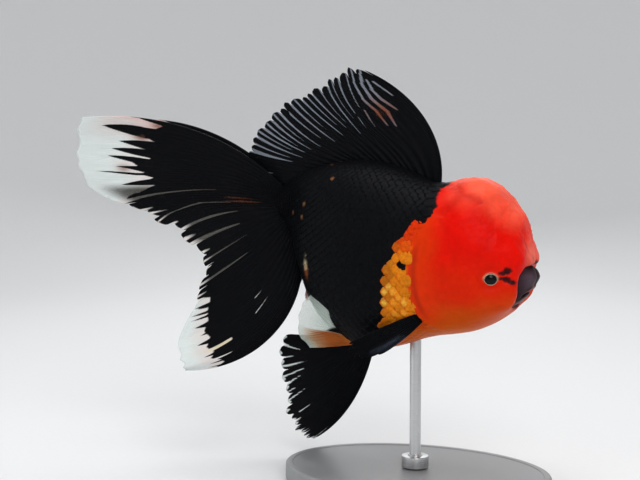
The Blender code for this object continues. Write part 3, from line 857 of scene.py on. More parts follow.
def scale_colours(heads, points, side, s, t, random):
    """The colour of every point of the scales, and which scales shine gold."""
    count, each = len(heads), len(s)

    def everywhere(values):
        return np.repeat(values, each, 0)

    # Each scale has one colour from the skin's markings, so their edge follows whole scales
    stray = random.uniform(-1.0, 1.0, count)
    flat = markings(heads, edge_noise=stray)
    ahead = ahead_of_mark(sides(heads)) + stray
    bright = random.uniform(0, 1, count)
    low = step(98, 90, heads[:, 2]) * step(64, 74, heads[:, 2])
    golden = (ahead > 0) * step(9, 5, heads[:, 0]) * low * (flat.max(1) > 0.05)
    paint(flat, "gold", 0.75 * golden)
    flat *= (1 - 0.12 * golden * (bright < 0.3))[:, None]
    paint(flat, "scale_brown", 0.6 * (ahead > 0) * step(3.2, 0.4, ahead) * step(108, 98, heads[:, 2]))
    colour = everywhere(flat)
    # A painted highlight on some gold scales, and a warm rim on all of them
    across, along = np.tile(s, count), np.tile(t, count)
    lit = bump(np.hypot(across * 1.1, (along - 0.72) * 3.2), 0.6)
    paint(colour, "gold_highlight", everywhere(golden * step(0.45, 0.95, bright)) * lit * 0.8)
    paint(colour, "gill_orange", 0.55 * everywhere(golden) * step(0.86, 1.0, along))
    # Painted glints: a small gold spot on the scale nearest each place
    glint_scales = np.zeros(count)
    for place in GLINT_FLECKS:
        glint_scales[np.argmin(away_from(sides(heads), place))] = 1
    glint_spot = bump(np.hypot(across - 0.2, (along - 0.75) * 2), 0.35)
    paint(colour, "glint_gold", everywhere(glint_scales) * 0.8 * glint_spot)
    # The streak before the tail runs from cream to brown, on the right side only
    streak = away_from(points * (1, -side, 1), *VENT_STREAK) + 0.35 * everywhere(bright)
    streak_hue = plain("fin_cream", len(points))
    paint(streak_hue, "fin_brown", step(93, 86, everywhere(heads[:, 2])))
    colour = mixed(colour, streak_hue, 0.75 * (side < 0) * step(1.15, 0.55, streak))
    return colour, everywhere(ahead > 0)


def build_scales(skin, side, label):
    """Lays overlapping scales over one side of the trunk, as one joined mesh."""
    sizes = bpy.context.scene.oranda_sizes
    length, width = sizes.scale_length / MM, sizes.scale_width / MM
    tree = BVHTree.FromObject(skin, bpy.context.evaluated_depsgraph_get())
    random = np.random.default_rng(12 + side)
    s, t, half, cells = scale_shape()
    heads, places, patches = [], [], []
    for place, size, back, on_line, (map_x, map_y) in scale_roots(tree, side, length, width):
        normal = tree.find_nearest(place)[1]
        back = (back - normal * back.dot(normal)).normalized()
        across = back.cross(normal)
        big, turn, lift = random.uniform(0.95, 1.05), random.uniform(-0.06, 0.06), random.uniform(0.85, 1.15)
        fore = (t * SCALE_REACH - 0.45) * length * size * big
        aside = s * half * SCALE_SPREAD * width * size * big + turn * fore
        bulge = SCALE_RISE * t**0.8 * lift + 0.08 * (1 - s * s) * np.sin(np.pi * t)
        rise = bulge * min(1.0, size + 0.1) - SCALE_SUNK
        rise += 0.16 * on_line * bump(s, 0.25) * band(0.2, 0.5, 0.8, 1.0, t)
        for one_fore, one_aside, one_rise in zip(fore, aside, rise):
            near, out, _, _ = tree.find_nearest(place + (back * one_fore + across * one_aside) * MM)
            places.append(near + out * one_rise * MM)
        heads.append(place)
        patches.append(np.column_stack([map_x + PATCH * (2 * t - 1), map_y + PATCH * s]))
    count = len(heads)
    faces = (cells[None] + np.arange(count)[:, None, None] * len(s)).reshape(-1, 4)
    mesh = bpy.data.meshes.new(label)
    mesh.from_pydata(places, [], faces.tolist())
    obj = bpy.data.objects.new(label, mesh)
    bpy.context.scene.collection.objects.link(obj)
    uv_map(obj, "OFBake", np.vstack(patches))
    uv_map(obj, "ScaleFace", np.tile(np.column_stack([s, t]), (count, 1)))
    heads = datum(np.array(heads)) - (0.9 * length, 0, 0)
    colour, sheen = scale_colours(heads, datum(np.array(places)), side, s, t, random)
    attribute(obj, "Markings", opaque(colour))
    attribute(obj, "Sheen", sheen)
    return modify(obj, "SOLIDIFY", thickness=SCALE_THICKNESS * MM, offset=-1.0)


def scale_material():
    """Goldfish scales: thin horny plates under slime, jet black on the trunk, bright gold behind the gills.

    Growth rings about 0.25 mm apart and rays from the root break up the gloss; a thin guanine layer
    gives the gold a part metallic shine.
    """
    made, tree, shader, place = new_material(
        "horny_goldfish_scales",
        Roughness=0.42,
        IOR=1.45,
        Specular_IOR_Level=0.05,
        Coat_Weight=0.02,
        Coat_Roughness=0.3,
        Coat_IOR=1.34,
    )
    colour = add_node(tree, "Attribute", attribute_name="Markings")
    gold = add_node(tree, "Attribute", attribute_name="Sheen").outputs["Fac"]
    face = add_node(tree, "UVMap", uv_map="ScaleFace")
    apart = add_node(tree, "SeparateXYZ", {"Vector": face}).outputs
    from_root = add_node(tree, "VectorMath", {0: face}, operation="LENGTH").outputs["Value"]
    rings = add_node(tree, "Math", {0: from_root, 1: 62.0}, operation="MULTIPLY")
    ringed = add_node(tree, "Math", {0: rings}, operation="SINE")
    turned = add_node(tree, "Math", {0: apart["X"], 1: apart["Y"]}, operation="ARCTAN2")
    spread = add_node(tree, "Math", {0: turned, 1: 26.0}, operation="MULTIPLY")
    rayed = add_node(tree, "Math", {0: spread}, operation="SINE")
    grain = add_node(tree, "TexNoise", {"Vector": place, "Scale": 900.0, "Detail": 4.0})
    both = add_node(tree, "Math", {0: rayed, 1: 0.45, 2: ringed}, operation="MULTIPLY_ADD")
    height = add_node(tree, "Math", {0: grain, 1: 1.6, 2: both}, operation="MULTIPLY_ADD")
    dent = add_node(tree, "Bump", {"Height": height, "Strength": 0.25, "Distance": 0.00008})
    grained = shaded(tree, colour, grain, 0.8, 1.15)
    shine = add_node(tree, "Math", {0: gold, 1: 0.12}, operation="MULTIPLY")
    rough = add_node(tree, "MapRange", {"Value": grain, **NOISE_SPAN, "To Min": 0.36, "To Max": 0.5})
    fill(tree, shader, {"Base Color": grained, "Metallic": shine, "Roughness": rough, "Normal": dent})
    return made


# ---------------------------------------------------------------- eyes

PUPIL_OVAL = 0.24  # how much lower than wide the pupil is
IRIS_FROM, IRIS_TO = 34.2, 38.5  # degrees from the eye's axis between which the pale ring lies


def build_eye(side, label):
    """An eyeball with a slightly bulging clear front, turned outwards and a little forwards."""
    deselect()
    bpy.ops.mesh.primitive_uv_sphere_add(segments=96, ring_count=64, radius=EYE_RADIUS * MM)
    obj = named(label)
    flat = points(obj)
    from_axis = np.degrees(np.arccos(np.clip(flat[:, 2] / (EYE_RADIUS * MM), -1, 1)))
    high = np.abs(flat[:, 1]) / np.maximum(np.hypot(flat[:, 0], flat[:, 1]), 1e-9)
    bulge = 1 + 0.055 * bump(from_axis, 30) - 0.02 * bump(from_axis - IRIS_TO, 4)
    move_points(obj, flat * bulge[:, None])
    attribute(obj, "FromAxis", from_axis * (1 + PUPIL_OVAL * high**2))
    only(obj)
    obj.rotation_euler = (math.radians(-90 * side), 0, math.radians(-EYE_TURN * side))
    obj.location = framed([np.array(EYE_MIDDLE) * (1, side, 1)])[0]
    return place_in_mesh(obj)


def eye_material():
    """A fish eye: a jet black pupil and a thin pale gold iris under a wet, glass-clear front."""
    made, tree, shader, place = new_material(
        "wet_fish_eye",
        Roughness=0.1,
        IOR=1.376,
        Specular_IOR_Level=0.1,
        Coat_Weight=0.3,
        Coat_Roughness=0.03,
        Coat_IOR=1.376,
    )
    from_axis = add_node(tree, "Attribute", attribute_name="FromAxis").outputs["Fac"]
    grain = add_node(tree, "TexNoise", {"Vector": place, "Scale": 2200.0, "Detail": 4.0})
    ragged = add_node(tree, "Math", {0: grain, 1: 5.0, 2: from_axis}, operation="MULTIPLY_ADD")
    inside, outside = (
        add_node(tree, "MapRange", {"Value": ragged, "From Min": low, "From Max": high})
        for low, high in ((IRIS_FROM + 2.0, IRIS_FROM + 3.0), (IRIS_TO + 3.0, IRIS_TO + 1.5))
    )
    ring = add_node(tree, "Math", {0: inside, 1: outside}, operation="MULTIPLY")
    gold = shaded(tree, hue("iris_gold"), grain, 0.7, 1.2)
    black = (*hue("pupil_black"), 1.0)
    colour = add_node(tree, "Mix", {0: ring, 6: black, 7: gold}, data_type="RGBA").outputs[2]
    fill(tree, shader, {"Base Color": colour})
    return made


# ---------------------------------------------------------------- fins

RAY_LINES, RAY_STEPS, RAY_UNIT = 161, 60, 50  # rays traced, steps along each, steps in a whole length
UNCUT = 1.2  # where a slit starts that does not open
NEARBY = 0.004  # share along a root or a ray over which a fin's slope is taken
TONGUE = 0.19  # length of a tongue of black, as a share of the rays
THICKNESS_LEVELS, THINNEST = 32, 0.12  # steps of a fin's thickness, and its least share of the thickest


def ray_lines(root, rays, leans, side):
    """Traces the rays of a fin a little past their tips, in datum mm: ray, step, place."""
    spaced = [(k / (len(root) - 1), *point) for k, point in enumerate(root)]
    t = (np.arange(RAY_STEPS) + 0.5) / RAY_UNIT
    lines = []
    for share in np.linspace(0, 1, RAY_LINES):
        at_root, half_way, at_tip, length = smooth_row(rays, share)
        held = np.minimum(t, 1.0)
        bend = 2 * at_root - 4 * half_way + 2 * at_tip
        angle = np.radians(at_root + held * (4 * half_way - 3 * at_root - at_tip) + held * held * bend)
        lean = math.tan(math.radians(leans[0] + (leans[1] - leans[0]) * share))
        strides = np.column_stack([-np.cos(angle), lean * (0.5 + t), np.sin(angle)]) * length / RAY_UNIT
        lines.append(np.vstack([np.zeros(3), np.cumsum(strides, axis=0)]) + smooth_row(spaced, share))
    return np.array(lines) * (1, side, 1)


def on_fin(lines, share, t):
    """Places on a fin's middle surface, at shares along its root and lengths t along its rays."""
    u = np.clip(share, 0, 1) * (RAY_LINES - 1)
    v = np.clip(t, 0, RAY_STEPS / RAY_UNIT - 1e-6) * RAY_UNIT
    i, j = np.minimum(u.astype(int), RAY_LINES - 2), np.minimum(v.astype(int), RAY_STEPS - 1)
    a, b = (u - i)[:, None], (v - j)[:, None]
    inner, outer = (lines[i, k] * (1 - a) + lines[i + 1, k] * a for k in (j, j + 1))
    return inner * (1 - b) + outer * b


def slit_grid(label, fingers, per_finger, rows, slits):
    """A grid primitive cut along the lines between fingers, from each slit's start to the edge.

    Returns it with each vertex's finger, place across it from -1 to 1, and share along the rays.
    """
    obj, _, _ = grid(label, fingers * per_finger, rows)
    with mesh_of(obj) as bm:
        cut = []
        for edge in bm.edges:
            one, other = (vert.co for vert in edge.verts)
            line = ((one.x + other.x) / 2 + 0.5) * fingers
            between = abs(line - round(line)) < 1e-4 and abs(one.x - other.x) < 1e-6
            if between and 0 < round(line) < fingers and (one.y + other.y) / 2 + 0.5 > slits[round(line)]:
                cut.append(edge)
        bmesh.ops.split_edges(bm, edges=cut)
        flat = np.array([v.co for v in bm.verts]) + 0.5
        beside = [[face.calc_center_median().x for face in v.link_faces] for v in bm.verts]
    inside = np.array([np.mean(places) for places in beside]) + 0.5
    finger = np.clip(np.floor(inside * fingers + 1e-4), 0, fingers - 1).astype(int)
    return obj, finger, 2 * (flat[:, 0] * fingers - finger) - 1, flat[:, 1]


def ray_ridges(across, t):
    """Height of the bony rays over the membrane, from 0 to 1; each ray forks twice on its way out."""
    place = (across + 1) / 2
    one, two, four = (0.5 - 0.5 * np.cos(2 * np.pi * n * place) for n in (1, 2, 4))
    forked = two + (one - two) * step(0.45, 0.25, t)
    return four + (forked - four) * step(0.8, 0.6, t)


def build_fin(label, root, rays, leans, side, look):
    """One fin as a thin closed sheet of forked rays, cut into fingers at its edge."""
    fingers = look["fingers"]
    bounds = np.linspace(0, 1, fingers + 1) if isinstance(fingers, int) else np.array(fingers)
    fingers = len(bounds) - 1
    random = np.random.default_rng(look["seed"])
    slits = look["slit"](bounds) + random.uniform(-1, 1, fingers + 1) * look["slit_stray"]
    obj, finger, across, t = slit_grid(label, fingers, look["per_finger"], look["rows"], slits)
    # Fingers draw in along their slits, and those that are cut get rounded tips
    left, right = slits[finger], slits[finger + 1]
    slit = np.where(across < 0, left, right)
    open_here = np.clip((t - slit) / np.maximum(1 - slit, 0.03), 0, 1)
    cut = np.minimum(left, right) < 1
    tip = np.where(cut, np.clip((t - look["round_from"]) / (1 - look["round_from"]), 0, 1), 0)
    narrow = (1 - look["gap"] * open_here**0.7) * np.sqrt(np.clip(1 - tip**2.4, 0.02, 1))
    share = bounds[finger] + (bounds[finger + 1] - bounds[finger]) * (0.5 + 0.5 * across * narrow)

    def over_fingers(values):
        return np.interp(share * fingers, np.arange(fingers) + 0.5, values)

    # Uneven edge: each cut finger ends at its own length, an uncut edge waves gently
    stray = random.uniform(-1, 1, fingers)
    uneven = np.where(cut, stray[finger], 0.5 * over_fingers(stray))
    long = t * (1 + look["ragged"] * uneven * step(0.4, 1.0, t))
    lines = ray_lines(root, rays, leans, side)
    # The way out of the sheet, across its slopes along the root and along the rays
    less, more = np.maximum(share - NEARBY, 0), np.minimum(share + NEARBY, 1)
    along_root = on_fin(lines, more, long) - on_fin(lines, less, long)
    along_ray = on_fin(lines, share, long + NEARBY) - on_fin(lines, share, np.maximum(long - NEARBY, 0))
    out = np.cross(along_root, along_ray)
    out /= np.maximum(np.linalg.norm(out, axis=1), 1e-9)[:, None]
    phase = 2 * np.pi * (look["waves"] * share + 0.25 * t) + look["seed"]
    waves = look["wave"] * step(0.05, 0.9, t) * np.sin(phase)
    flutter = look["flutter"] * step(0.35, 1.0, t) * over_fingers(random.uniform(-1, 1, fingers))
    move_points(obj, framed(on_fin(lines, share, long) + out * (waves + flutter)[:, None]))
    black, clear, clarity = look["pattern"](share, t)
    attribute(obj, "Ink", black)
    attribute(obj, "Clear", np.column_stack([clear, clarity]))
    uv_map(obj, "Rays", np.column_stack([finger + (across + 1) / 2, long * smooth_row(rays, 0.5)[3]]))
    thick = (0.35 + 0.65 * ray_ridges(across, t)) * (1 - 0.62 * t**0.8)
    group = obj.vertex_groups.new(name="Thickness")
    for level in range(1, THICKNESS_LEVELS + 1):
        chosen = np.nonzero(np.rint(thick * THICKNESS_LEVELS) == level)[0]
        group.add(chosen.tolist(), level / THICKNESS_LEVELS, "REPLACE")
    modify(
        obj,
        "SOLIDIFY",
        thickness=bpy.context.scene.oranda_sizes.fin_thickness,
        offset=0.0,
        vertex_group="Thickness",
        thickness_vertex_group=THINNEST,
    )
    obj.vertex_groups.clear()
    return obj


def fin_material():
    """Fin membrane on forked bony rays: black pigment in a clear, moist skin that stays bare at the tips.

    Where the pigment stops the sheet is milky and lets light through, with the fine rays whiter.
    """
    made, tree, shader, place = new_material(
        "rayed_fin_membrane",
        Roughness=0.45,
        IOR=1.4,
        Specular_IOR_Level=0.06,
        Coat_Weight=0.01,
        Coat_Roughness=0.3,
    )
    ink = add_node(tree, "Attribute", attribute_name="Ink").outputs["Fac"]
    clear = add_node(tree, "Attribute", attribute_name="Clear")
    rays = add_node(tree, "UVMap", uv_map="Rays")
    apart = add_node(tree, "SeparateXYZ", {"Vector": rays}).outputs
    # Eight fine rays to each finger, with joints about 1 mm apart along them
    phase = add_node(tree, "Math", {0: apart["X"], 1: 2 * math.pi * 8}, operation="MULTIPLY")
    fine = add_node(tree, "Math", {0: phase}, operation="COSINE")
    joint = add_node(tree, "Math", {0: apart["Y"], 1: 2 * math.pi}, operation="MULTIPLY")
    jointed = add_node(tree, "Math", {0: joint}, operation="SINE")
    grain = add_node(tree, "TexNoise", {"Vector": place, "Scale": 700.0, "Detail": 4.0, "Roughness": 0.6})
    ragged = add_node(tree, "Math", {0: grain, 1: 0.3, 2: ink}, operation="MULTIPLY_ADD")
    black = add_node(tree, "MapRange", {"Value": ragged, "From Min": 0.43, "From Max": 0.87})
    spread = {"From Min": -1.0, "From Max": 1.0, "To Min": 1.35, "To Max": 0.75}
    shade = add_node(tree, "MapRange", {"Value": fine, **spread})
    dark = add_node(tree, "VectorMath", {0: hue("fin_black"), 1: shade}, operation="MULTIPLY")
    colour = add_node(tree, "Mix", {0: black, 6: clear, 7: dark}, data_type="RGBA").outputs[2]
    rayed = add_node(tree, "Math", {0: fine, 1: -0.16, 2: clear.outputs["Alpha"]}, operation="MULTIPLY_ADD")
    solid = add_node(tree, "Math", {0: rayed, 1: black}, operation="MAXIMUM", use_clamp=True)
    ridges = add_node(tree, "Math", {0: jointed, 1: 0.25, 2: fine}, operation="MULTIPLY_ADD")
    dent = add_node(tree, "Bump", {"Height": ridges, "Strength": 0.4, "Distance": 0.0001}, invert=True)
    fill(tree, shader, {"Base Color": colour, "Alpha": solid, "Normal": dent})
    return made


# Clear gaps between the black rays. Each row: share along the rays, place along the root and half
# width where the gap starts, then the same where it ends
DORSAL_GAPS = (
    (0.69, 0.025, 0.001, 0.86, 0.033, 0.0025), (0.58, 0.044, 0.001, 0.7, 0.055, 0.003),
    (0.69, 0.055, 0.003, 0.8, 0.056, 0.003), (0.79, 0.056, 0.003, 0.89, 0.045, 0.0025),
    (0.46, 0.081, 0.001, 0.6, 0.068, 0.003), (0.59, 0.068, 0.003, 0.73, 0.076, 0.0035),
    (0.72, 0.076, 0.0035, 0.86, 0.068, 0.0035), (0.85, 0.068, 0.0035, 0.95, 0.048, 0.0035),
    (0.94, 0.048, 0.0035, 1.05, 0.012, 0.004), (0.49, 0.101, 0.001, 0.64, 0.092, 0.003),
    (0.63, 0.092, 0.003, 0.75, 0.099, 0.0035), (0.74, 0.099, 0.0035, 0.89, 0.09, 0.0035),
    (0.88, 0.09, 0.0035, 1.05, 0.058, 0.004), (0.5, 0.162, 0.001, 0.67, 0.129, 0.0025),
    (0.7, 0.142, 0.001, 1.05, 0.1, 0.004), (0.49, 0.231, 0.001, 0.62, 0.202, 0.0025),
    (0.66, 0.197, 0.002, 1.05, 0.16, 0.007), (0.6, 0.246, 0.0005, 1.05, 0.208, 0.0045),
    (0.43, 0.32, 0.001, 0.63, 0.294, 0.004), (0.62, 0.294, 0.004, 1.05, 0.25, 0.007),
    (0.58, 0.334, 0.0005, 1.05, 0.314, 0.0045), (0.52, 0.365, 0.001, 1.05, 0.374, 0.006),
    (0.58, 0.398, 0.0005, 1.05, 0.408, 0.0045), (0.45, 0.425, 0.001, 1.05, 0.443, 0.006),
    (0.4, 0.497, 0.001, 1.05, 0.504, 0.006), (0.56, 0.467, 0.0005, 1.05, 0.474, 0.0045),
    (0.5, 0.535, 0.001, 0.9, 0.54, 0.004), (0.41, 0.59, 0.001, 1.05, 0.573, 0.006),
    (0.56, 0.615, 0.0005, 1.05, 0.599, 0.0045), (0.43, 0.645, 0.001, 1.05, 0.625, 0.006),
    (0.56, 0.666, 0.0005, 1.05, 0.653, 0.0045), (0.44, 0.685, 0.001, 1.05, 0.68, 0.006),
    (0.56, 0.705, 0.0005, 1.05, 0.706, 0.0045), (0.41, 0.728, 0.001, 1.05, 0.732, 0.007),
    (0.52, 0.757, 0.0005, 1.05, 0.768, 0.0045), (0.46, 0.78, 0.001, 1.05, 0.806, 0.012),
    (0.62, 0.895, 0.001, 1.05, 0.925, 0.01),
)
DORSAL_FINGERS = (
    0, 0.012, 0.06, 0.101, 0.163, 0.208, 0.252, 0.314, 0.374, 0.408, 0.443, 0.504,
    0.54, 0.573, 0.625, 0.68, 0.732, 0.768, 0.806, 0.865, 0.925, 1,
)
TAIL_GAPS = (
    (0.36, 0.302, 0.0005, 0.6, 0.322, 0.002), (0.58, 0.321, 0.002, 1.05, 0.352, 0.004),
    (0.4, 0.4, 0.001, 0.62, 0.392, 0.0025), (0.6, 0.392, 0.0025, 0.98, 0.423, 0.001),
    (0.9, 0.378, 0.0005, 1.05, 0.379, 0.004), (0.87, 0.399, 0.0005, 1.05, 0.391, 0.004),
    (0.94, 0.445, 0.0005, 1.05, 0.444, 0.004), (0.42, 0.462, 0.0005, 0.7, 0.464, 0.0026),
    (0.68, 0.464, 0.0026, 1.05, 0.466, 0.002), (0.88, 0.485, 0.0005, 1.05, 0.482, 0.004),
    (0.48, 0.5, 0.001, 1.05, 0.497, 0.0038), (0.47, 0.54, 0.0002, 1.05, 0.542, 0.002),
    (0.9, 0.522, 0.0005, 1.05, 0.52, 0.003), (0.93, 0.565, 0.0005, 1.05, 0.565, 0.003),
    (0.48, 0.605, 0.0005, 0.78, 0.603, 0.0032), (0.76, 0.603, 0.0032, 1.05, 0.603, 0.003),
    (0.9, 0.636, 0.0005, 1.05, 0.634, 0.004), (0.39, 0.758, 0.0001, 0.46, 0.76, 0.0006),
    (0.38, 0.796, 0.0001, 0.5, 0.806, 0.0008), (0.69, 0.833, 0.005, 0.92, 0.842, 0.009),
    (0.72, 0.902, 0.001, 0.92, 0.903, 0.009),
)
# Tongues of black that run out into the clear edge of the tail: place along the root at their
# start and at their tip, half width, and share along the rays of the tip
TAIL_TONGUES = (
    (0, 0, 0.005, 0.79), (0.053, 0.033, 0.02, 0.9), (0.102, 0.088, 0.019, 0.825),
    (0.132, 0.115, 0.016, 0.855), (0.168, 0.143, 0.015, 0.87), (0.206, 0.19, 0.015, 0.835),
    (0.229, 0.212, 0.006, 0.94), (0.268, 0.283, 0.017, 0.84), (0.305, 0.322, 0.016, 0.81),
    (0.338, 0.362, 0.016, 1.02), (0.684, 0.668, 0.006, 1), (0.703, 0.688, 0.004, 0.98),
    (0.715, 0.703, 0.004, 0.96), (0.742, 0.73, 0.011, 0.91), (0.765, 0.763, 0.008, 0.87),
    (0.798, 0.795, 0.015, 0.9), (0.866, 0.865, 0.016, 0.89), (0.938, 0.932, 0.014, 0.87),
    (0.985, 0.98, 0.012, 0.88),
)
# How far the unbroken black reaches along the rays, from the top of the tail to its lowest ray
TAIL_BLACK = (
    (0, 0.76), (0.008, 0.72), (0.018, 0.64), (0.04, 0.68), (0.053, 0.73), (0.07, 0.7), (0.085, 0.655),
    (0.102, 0.72), (0.115, 0.68), (0.132, 0.73), (0.15, 0.67), (0.168, 0.76), (0.188, 0.73),
    (0.206, 0.76), (0.218, 0.71), (0.23, 0.73), (0.247, 0.67), (0.268, 0.73), (0.288, 0.68),
    (0.305, 0.74), (0.325, 0.78), (0.355, 0.99), (0.5, 1), (0.64, 1), (0.66, 0.87), (0.695, 0.84),
    (0.725, 0.82), (0.753, 0.84), (0.782, 0.81), (0.815, 0.85), (0.85, 0.82), (0.885, 0.85),
    (0.92, 0.8), (0.96, 0.79), (1, 0.84),
)
LOW_PELVIC_GAPS = (
    (0.8, 0.06, 0.001, 0.99, 0.035, 0.004), (0.93, 0.16, 0.001, 1.05, 0.155, 0.005),
    (0.92, 0.25, 0.001, 1.05, 0.24, 0.005), (0.94, 0.34, 0.001, 1.05, 0.335, 0.005),
    (0.92, 0.42, 0.001, 1.05, 0.415, 0.005), (0.78, 0.487, 0.002, 0.9, 0.487, 0.005),
    (0.93, 0.545, 0.001, 1.05, 0.54, 0.006), (0.79, 0.632, 0.001, 1.05, 0.602, 0.006),
    (0.88, 0.67, 0.001, 1.05, 0.655, 0.005), (0.79, 0.728, 0.001, 1.05, 0.698, 0.007),
    (0.72, 0.765, 0.001, 1.05, 0.75, 0.006), (0.66, 0.806, 0.001, 1.05, 0.808, 0.006),
    (0.82, 0.855, 0.001, 1.05, 0.86, 0.006), (0.75, 0.89, 0.001, 1.05, 0.95, 0.008),
)


def in_gaps(share, t, gaps):
    """1 inside the clear gaps, 0 outside them."""
    inside = np.zeros(len(share))
    for t_in, share_in, half_in, t_out, share_out, half_out in gaps:
        along = np.clip((t - t_in) / (t_out - t_in), 0, 1)
        half = half_in + (half_out - half_in) * along
        away = np.abs(share - share_in - (share_out - share_in) * along)
        within = band(t_in - 0.01, t_in + 0.02, t_out, t_out + 0.02, t)
        inside = np.maximum(inside, step(half + 0.0025, half - 0.0015, away) * within)
    return inside


def in_tongues(share, t, tongues):
    """1 inside the tongues of black, 0 outside them."""
    inside = np.zeros(len(share))
    for share_in, share_out, wide, t_out in tongues:
        along = np.clip((t - t_out + TONGUE) / TONGUE, 0, 1)
        half = wide * (1 - along**1.7)
        away = np.abs(share - share_in - (share_out - share_in) * along)
        here = step(half + 0.0025, half - 0.002, away) * step(t_out - 0.3, t_out - 0.28, t) * (t < t_out)
        inside = np.maximum(inside, here)
    return inside


def spot(share, t, middle_share, middle_t, reach_share, reach_t):
    return bump(np.hypot((share - middle_share) / reach_share, (t - middle_t) / reach_t), 1.0)


# Each pattern gives, at shares along the root and along the rays, how black the fin is, its colour
# where it is clear, and how far that hides what lies behind


def dorsal_pattern(share, t):
    """Black fingers with thin pale gaps; those of the leading rays are brownish."""
    brown = spot(share, t, 0.085, 0.60, 0.06, 0.13)
    clear = plain("fin_clear", len(t))
    paint(clear, "fin_brown", 0.95 * brown)
    return (1 - in_gaps(share, t, DORSAL_GAPS)) * (1 - 0.3 * brown), clear, 0.8 + 0.18 * brown


def tail_pattern(share, t):
    """Black with tongues of pigment that run out into a milky, clear edge on both lobes."""
    reach = np.interp(share, *np.array(TAIL_BLACK).T)
    black = np.maximum(step(reach + 0.012, reach - 0.012, t), in_tongues(share, t, TAIL_TONGUES))
    root = spot(share, t, 0.385, 0.30, 0.055, 0.20) * (0.75 + 0.25 * np.sin(180 * share))
    red = np.maximum(spot(share, t, 0.066, 0.72, 0.018, 0.04), 0.7 * spot(share, t, 0.200, 0.80, 0.02, 0.03))
    black = black * (1 - in_gaps(share, t, TAIL_GAPS)) * (1 - 0.5 * root) * (1 - 0.35 * red)
    clear = plain("fin_white", len(t))
    near = 0.28 * step(0.14, 0.02, t - reach) * step(0.5, 0.6, t)
    top = 0.35 * step(0.10, 0.02, share) * step(1.0, 0.85, t)
    paint(clear, "fin_pink", np.clip(near + top, 0, 0.6))
    # Painted shade: dull dark grey in the thin gaps in the middle of the tail, for the darkness behind them
    paint(clear, "fin_gap_shade", 0.97 * step(1.0, 0.88, t) * band(0.27, 0.31, 0.63, 0.66, share))
    streak = np.maximum(0.9 * red, 0.8 * spot(share, t, 0.02, 0.66, 0.012, 0.03))
    paint(clear, "fin_brown", np.maximum(step(0.55, 0.25, t), streak))
    paint(clear, "fin_cream", 0.8 * spot(share, t, 0.835, 0.76, 0.014, 0.10))
    return black, clear, 0.94 - 0.44 * step(0.02, 0.22, t - reach) * step(0.6, 0.8, t)


def low_pelvic_pattern(share, t):
    """The hanging pelvic fin: black, with thin clear gaps and white ray tips along its rear edge."""
    edge = step(1.0, 0.965, t + 0.02 * np.sin(share * 130))
    return edge * (1 - in_gaps(share, t, LOW_PELVIC_GAPS)), plain("fin_white", len(t)), np.full(len(t), 0.8)


def raised_pelvic_pattern(share, t):
    """The raised pelvic fin: orange on its lower rays, black above that near its root, then clear."""
    middle = 0.50 + 0.05 * np.sin(6 * t)
    above = step(0.0, 0.06, share - middle)
    below = 1 - above
    streak = step(0.62, 0.42, t + 1.1 * np.clip(share - middle - 0.06, 0, 1)) * above
    clear = plain("fin_pale", len(t))
    paint(clear, "fin_cream", below * step(1.0, 0.75, t))
    paint(clear, "fin_orange", below * step(1.0, 0.5, t))
    rayed = 0.55 + 0.35 * np.sin(140 * share + 4 * t)
    paint(clear, "fin_brown", rayed * below * band(0.10, 0.35, 0.7, 1.0, t))
    clarity = (0.96 - 0.5 * step(0.6, 1.0, t)) * below + above * (0.62 - 0.3 * step(0.5, 1.0, t))
    return 0.97 * streak, clear, clarity


def pectoral_pattern(share, t):
    """Black, with painted blue-grey highlight streaks along the lower rays."""
    streak = band(0.2, 0.45, 0.8, 1.0, t) * step(0.5, 0.7, share) * (0.5 + 0.5 * np.sin(share * 150))
    return 1 - 0.55 * streak, plain("fin_highlight_blue", len(t)), np.full(len(t), 0.97)


def anal_pattern(share, t):
    """A short fin, orange and pink, with dark rays."""
    clear = plain("fin_orange", len(t))
    paint(clear, "fin_pink", step(0.4, 1.0, t))
    return 0.3 + 0.3 * np.sin(share * 38), clear, np.full(len(t), 0.9)


def slit_from(start, first=-1.0, last=2.0):
    """Slits between the fingers open at start along the rays, from first to last along the root."""
    return lambda share: np.where((share > first) & (share < last), start, UNCUT)


# How each fin is made: its fingers, or the shares along its root that bound them; cells across a
# finger and along a ray; the seed; how uneven its edge is; how far fingers draw apart and from
# where their tips are round; height in mm and number of its waves, and height of its flutter;
# where its slits start and how far they stray; and its colours
FIN_KEYS = (
    "fingers", "per_finger", "rows", "seed", "ragged", "gap", "round_from",
    "wave", "waves", "flutter", "slit", "slit_stray", "pattern",
)
FIN_ROWS = {
    "dorsal": (
        DORSAL_FINGERS, 16, 72, 3, 0.02, 0.1, 0.95,
        0.5, 1.5, 0.3, slit_from(0.93), 0.02, dorsal_pattern,
    ),
    "tail": (
        34, 12, 84, 5, 0.03, 0.1, 0.97,
        1.0, 3.0, 0.25, slit_from(0.93, 0.34, 0.66), 0.03, tail_pattern,
    ),
    "low_pelvic": (
        14, 12, 60, 7, 0.03, 0.16, 0.95,
        0.4, 1.0, 0.3, slit_from(0.93, 0.1), 0.02, low_pelvic_pattern,
    ),
    "raised_pelvic": (
        10, 12, 48, 9, 0.05, 0.2, 0.98,
        0.3, 1.0, 0.2, slit_from(UNCUT), 0.0, raised_pelvic_pattern,
    ),
    "pectoral": (
        10, 10, 36, 13, 0.03, 0.16, 0.93,
        0.3, 1.0, 0.15, slit_from(0.9), 0.03, pectoral_pattern,
    ),
    "anal": (
        6, 10, 20, 15, 0.08, 0.3, 0.85,
        0.1, 1.0, 0.05, slit_from(0.75), 0.03, anal_pattern,
    ),
}


# ---------------------------------------------------------------- stand


SHARP = math.radians(50)  # the least angle between faces whose edge is rounded


def is_top(face):
    return face.normal.z > 0.9


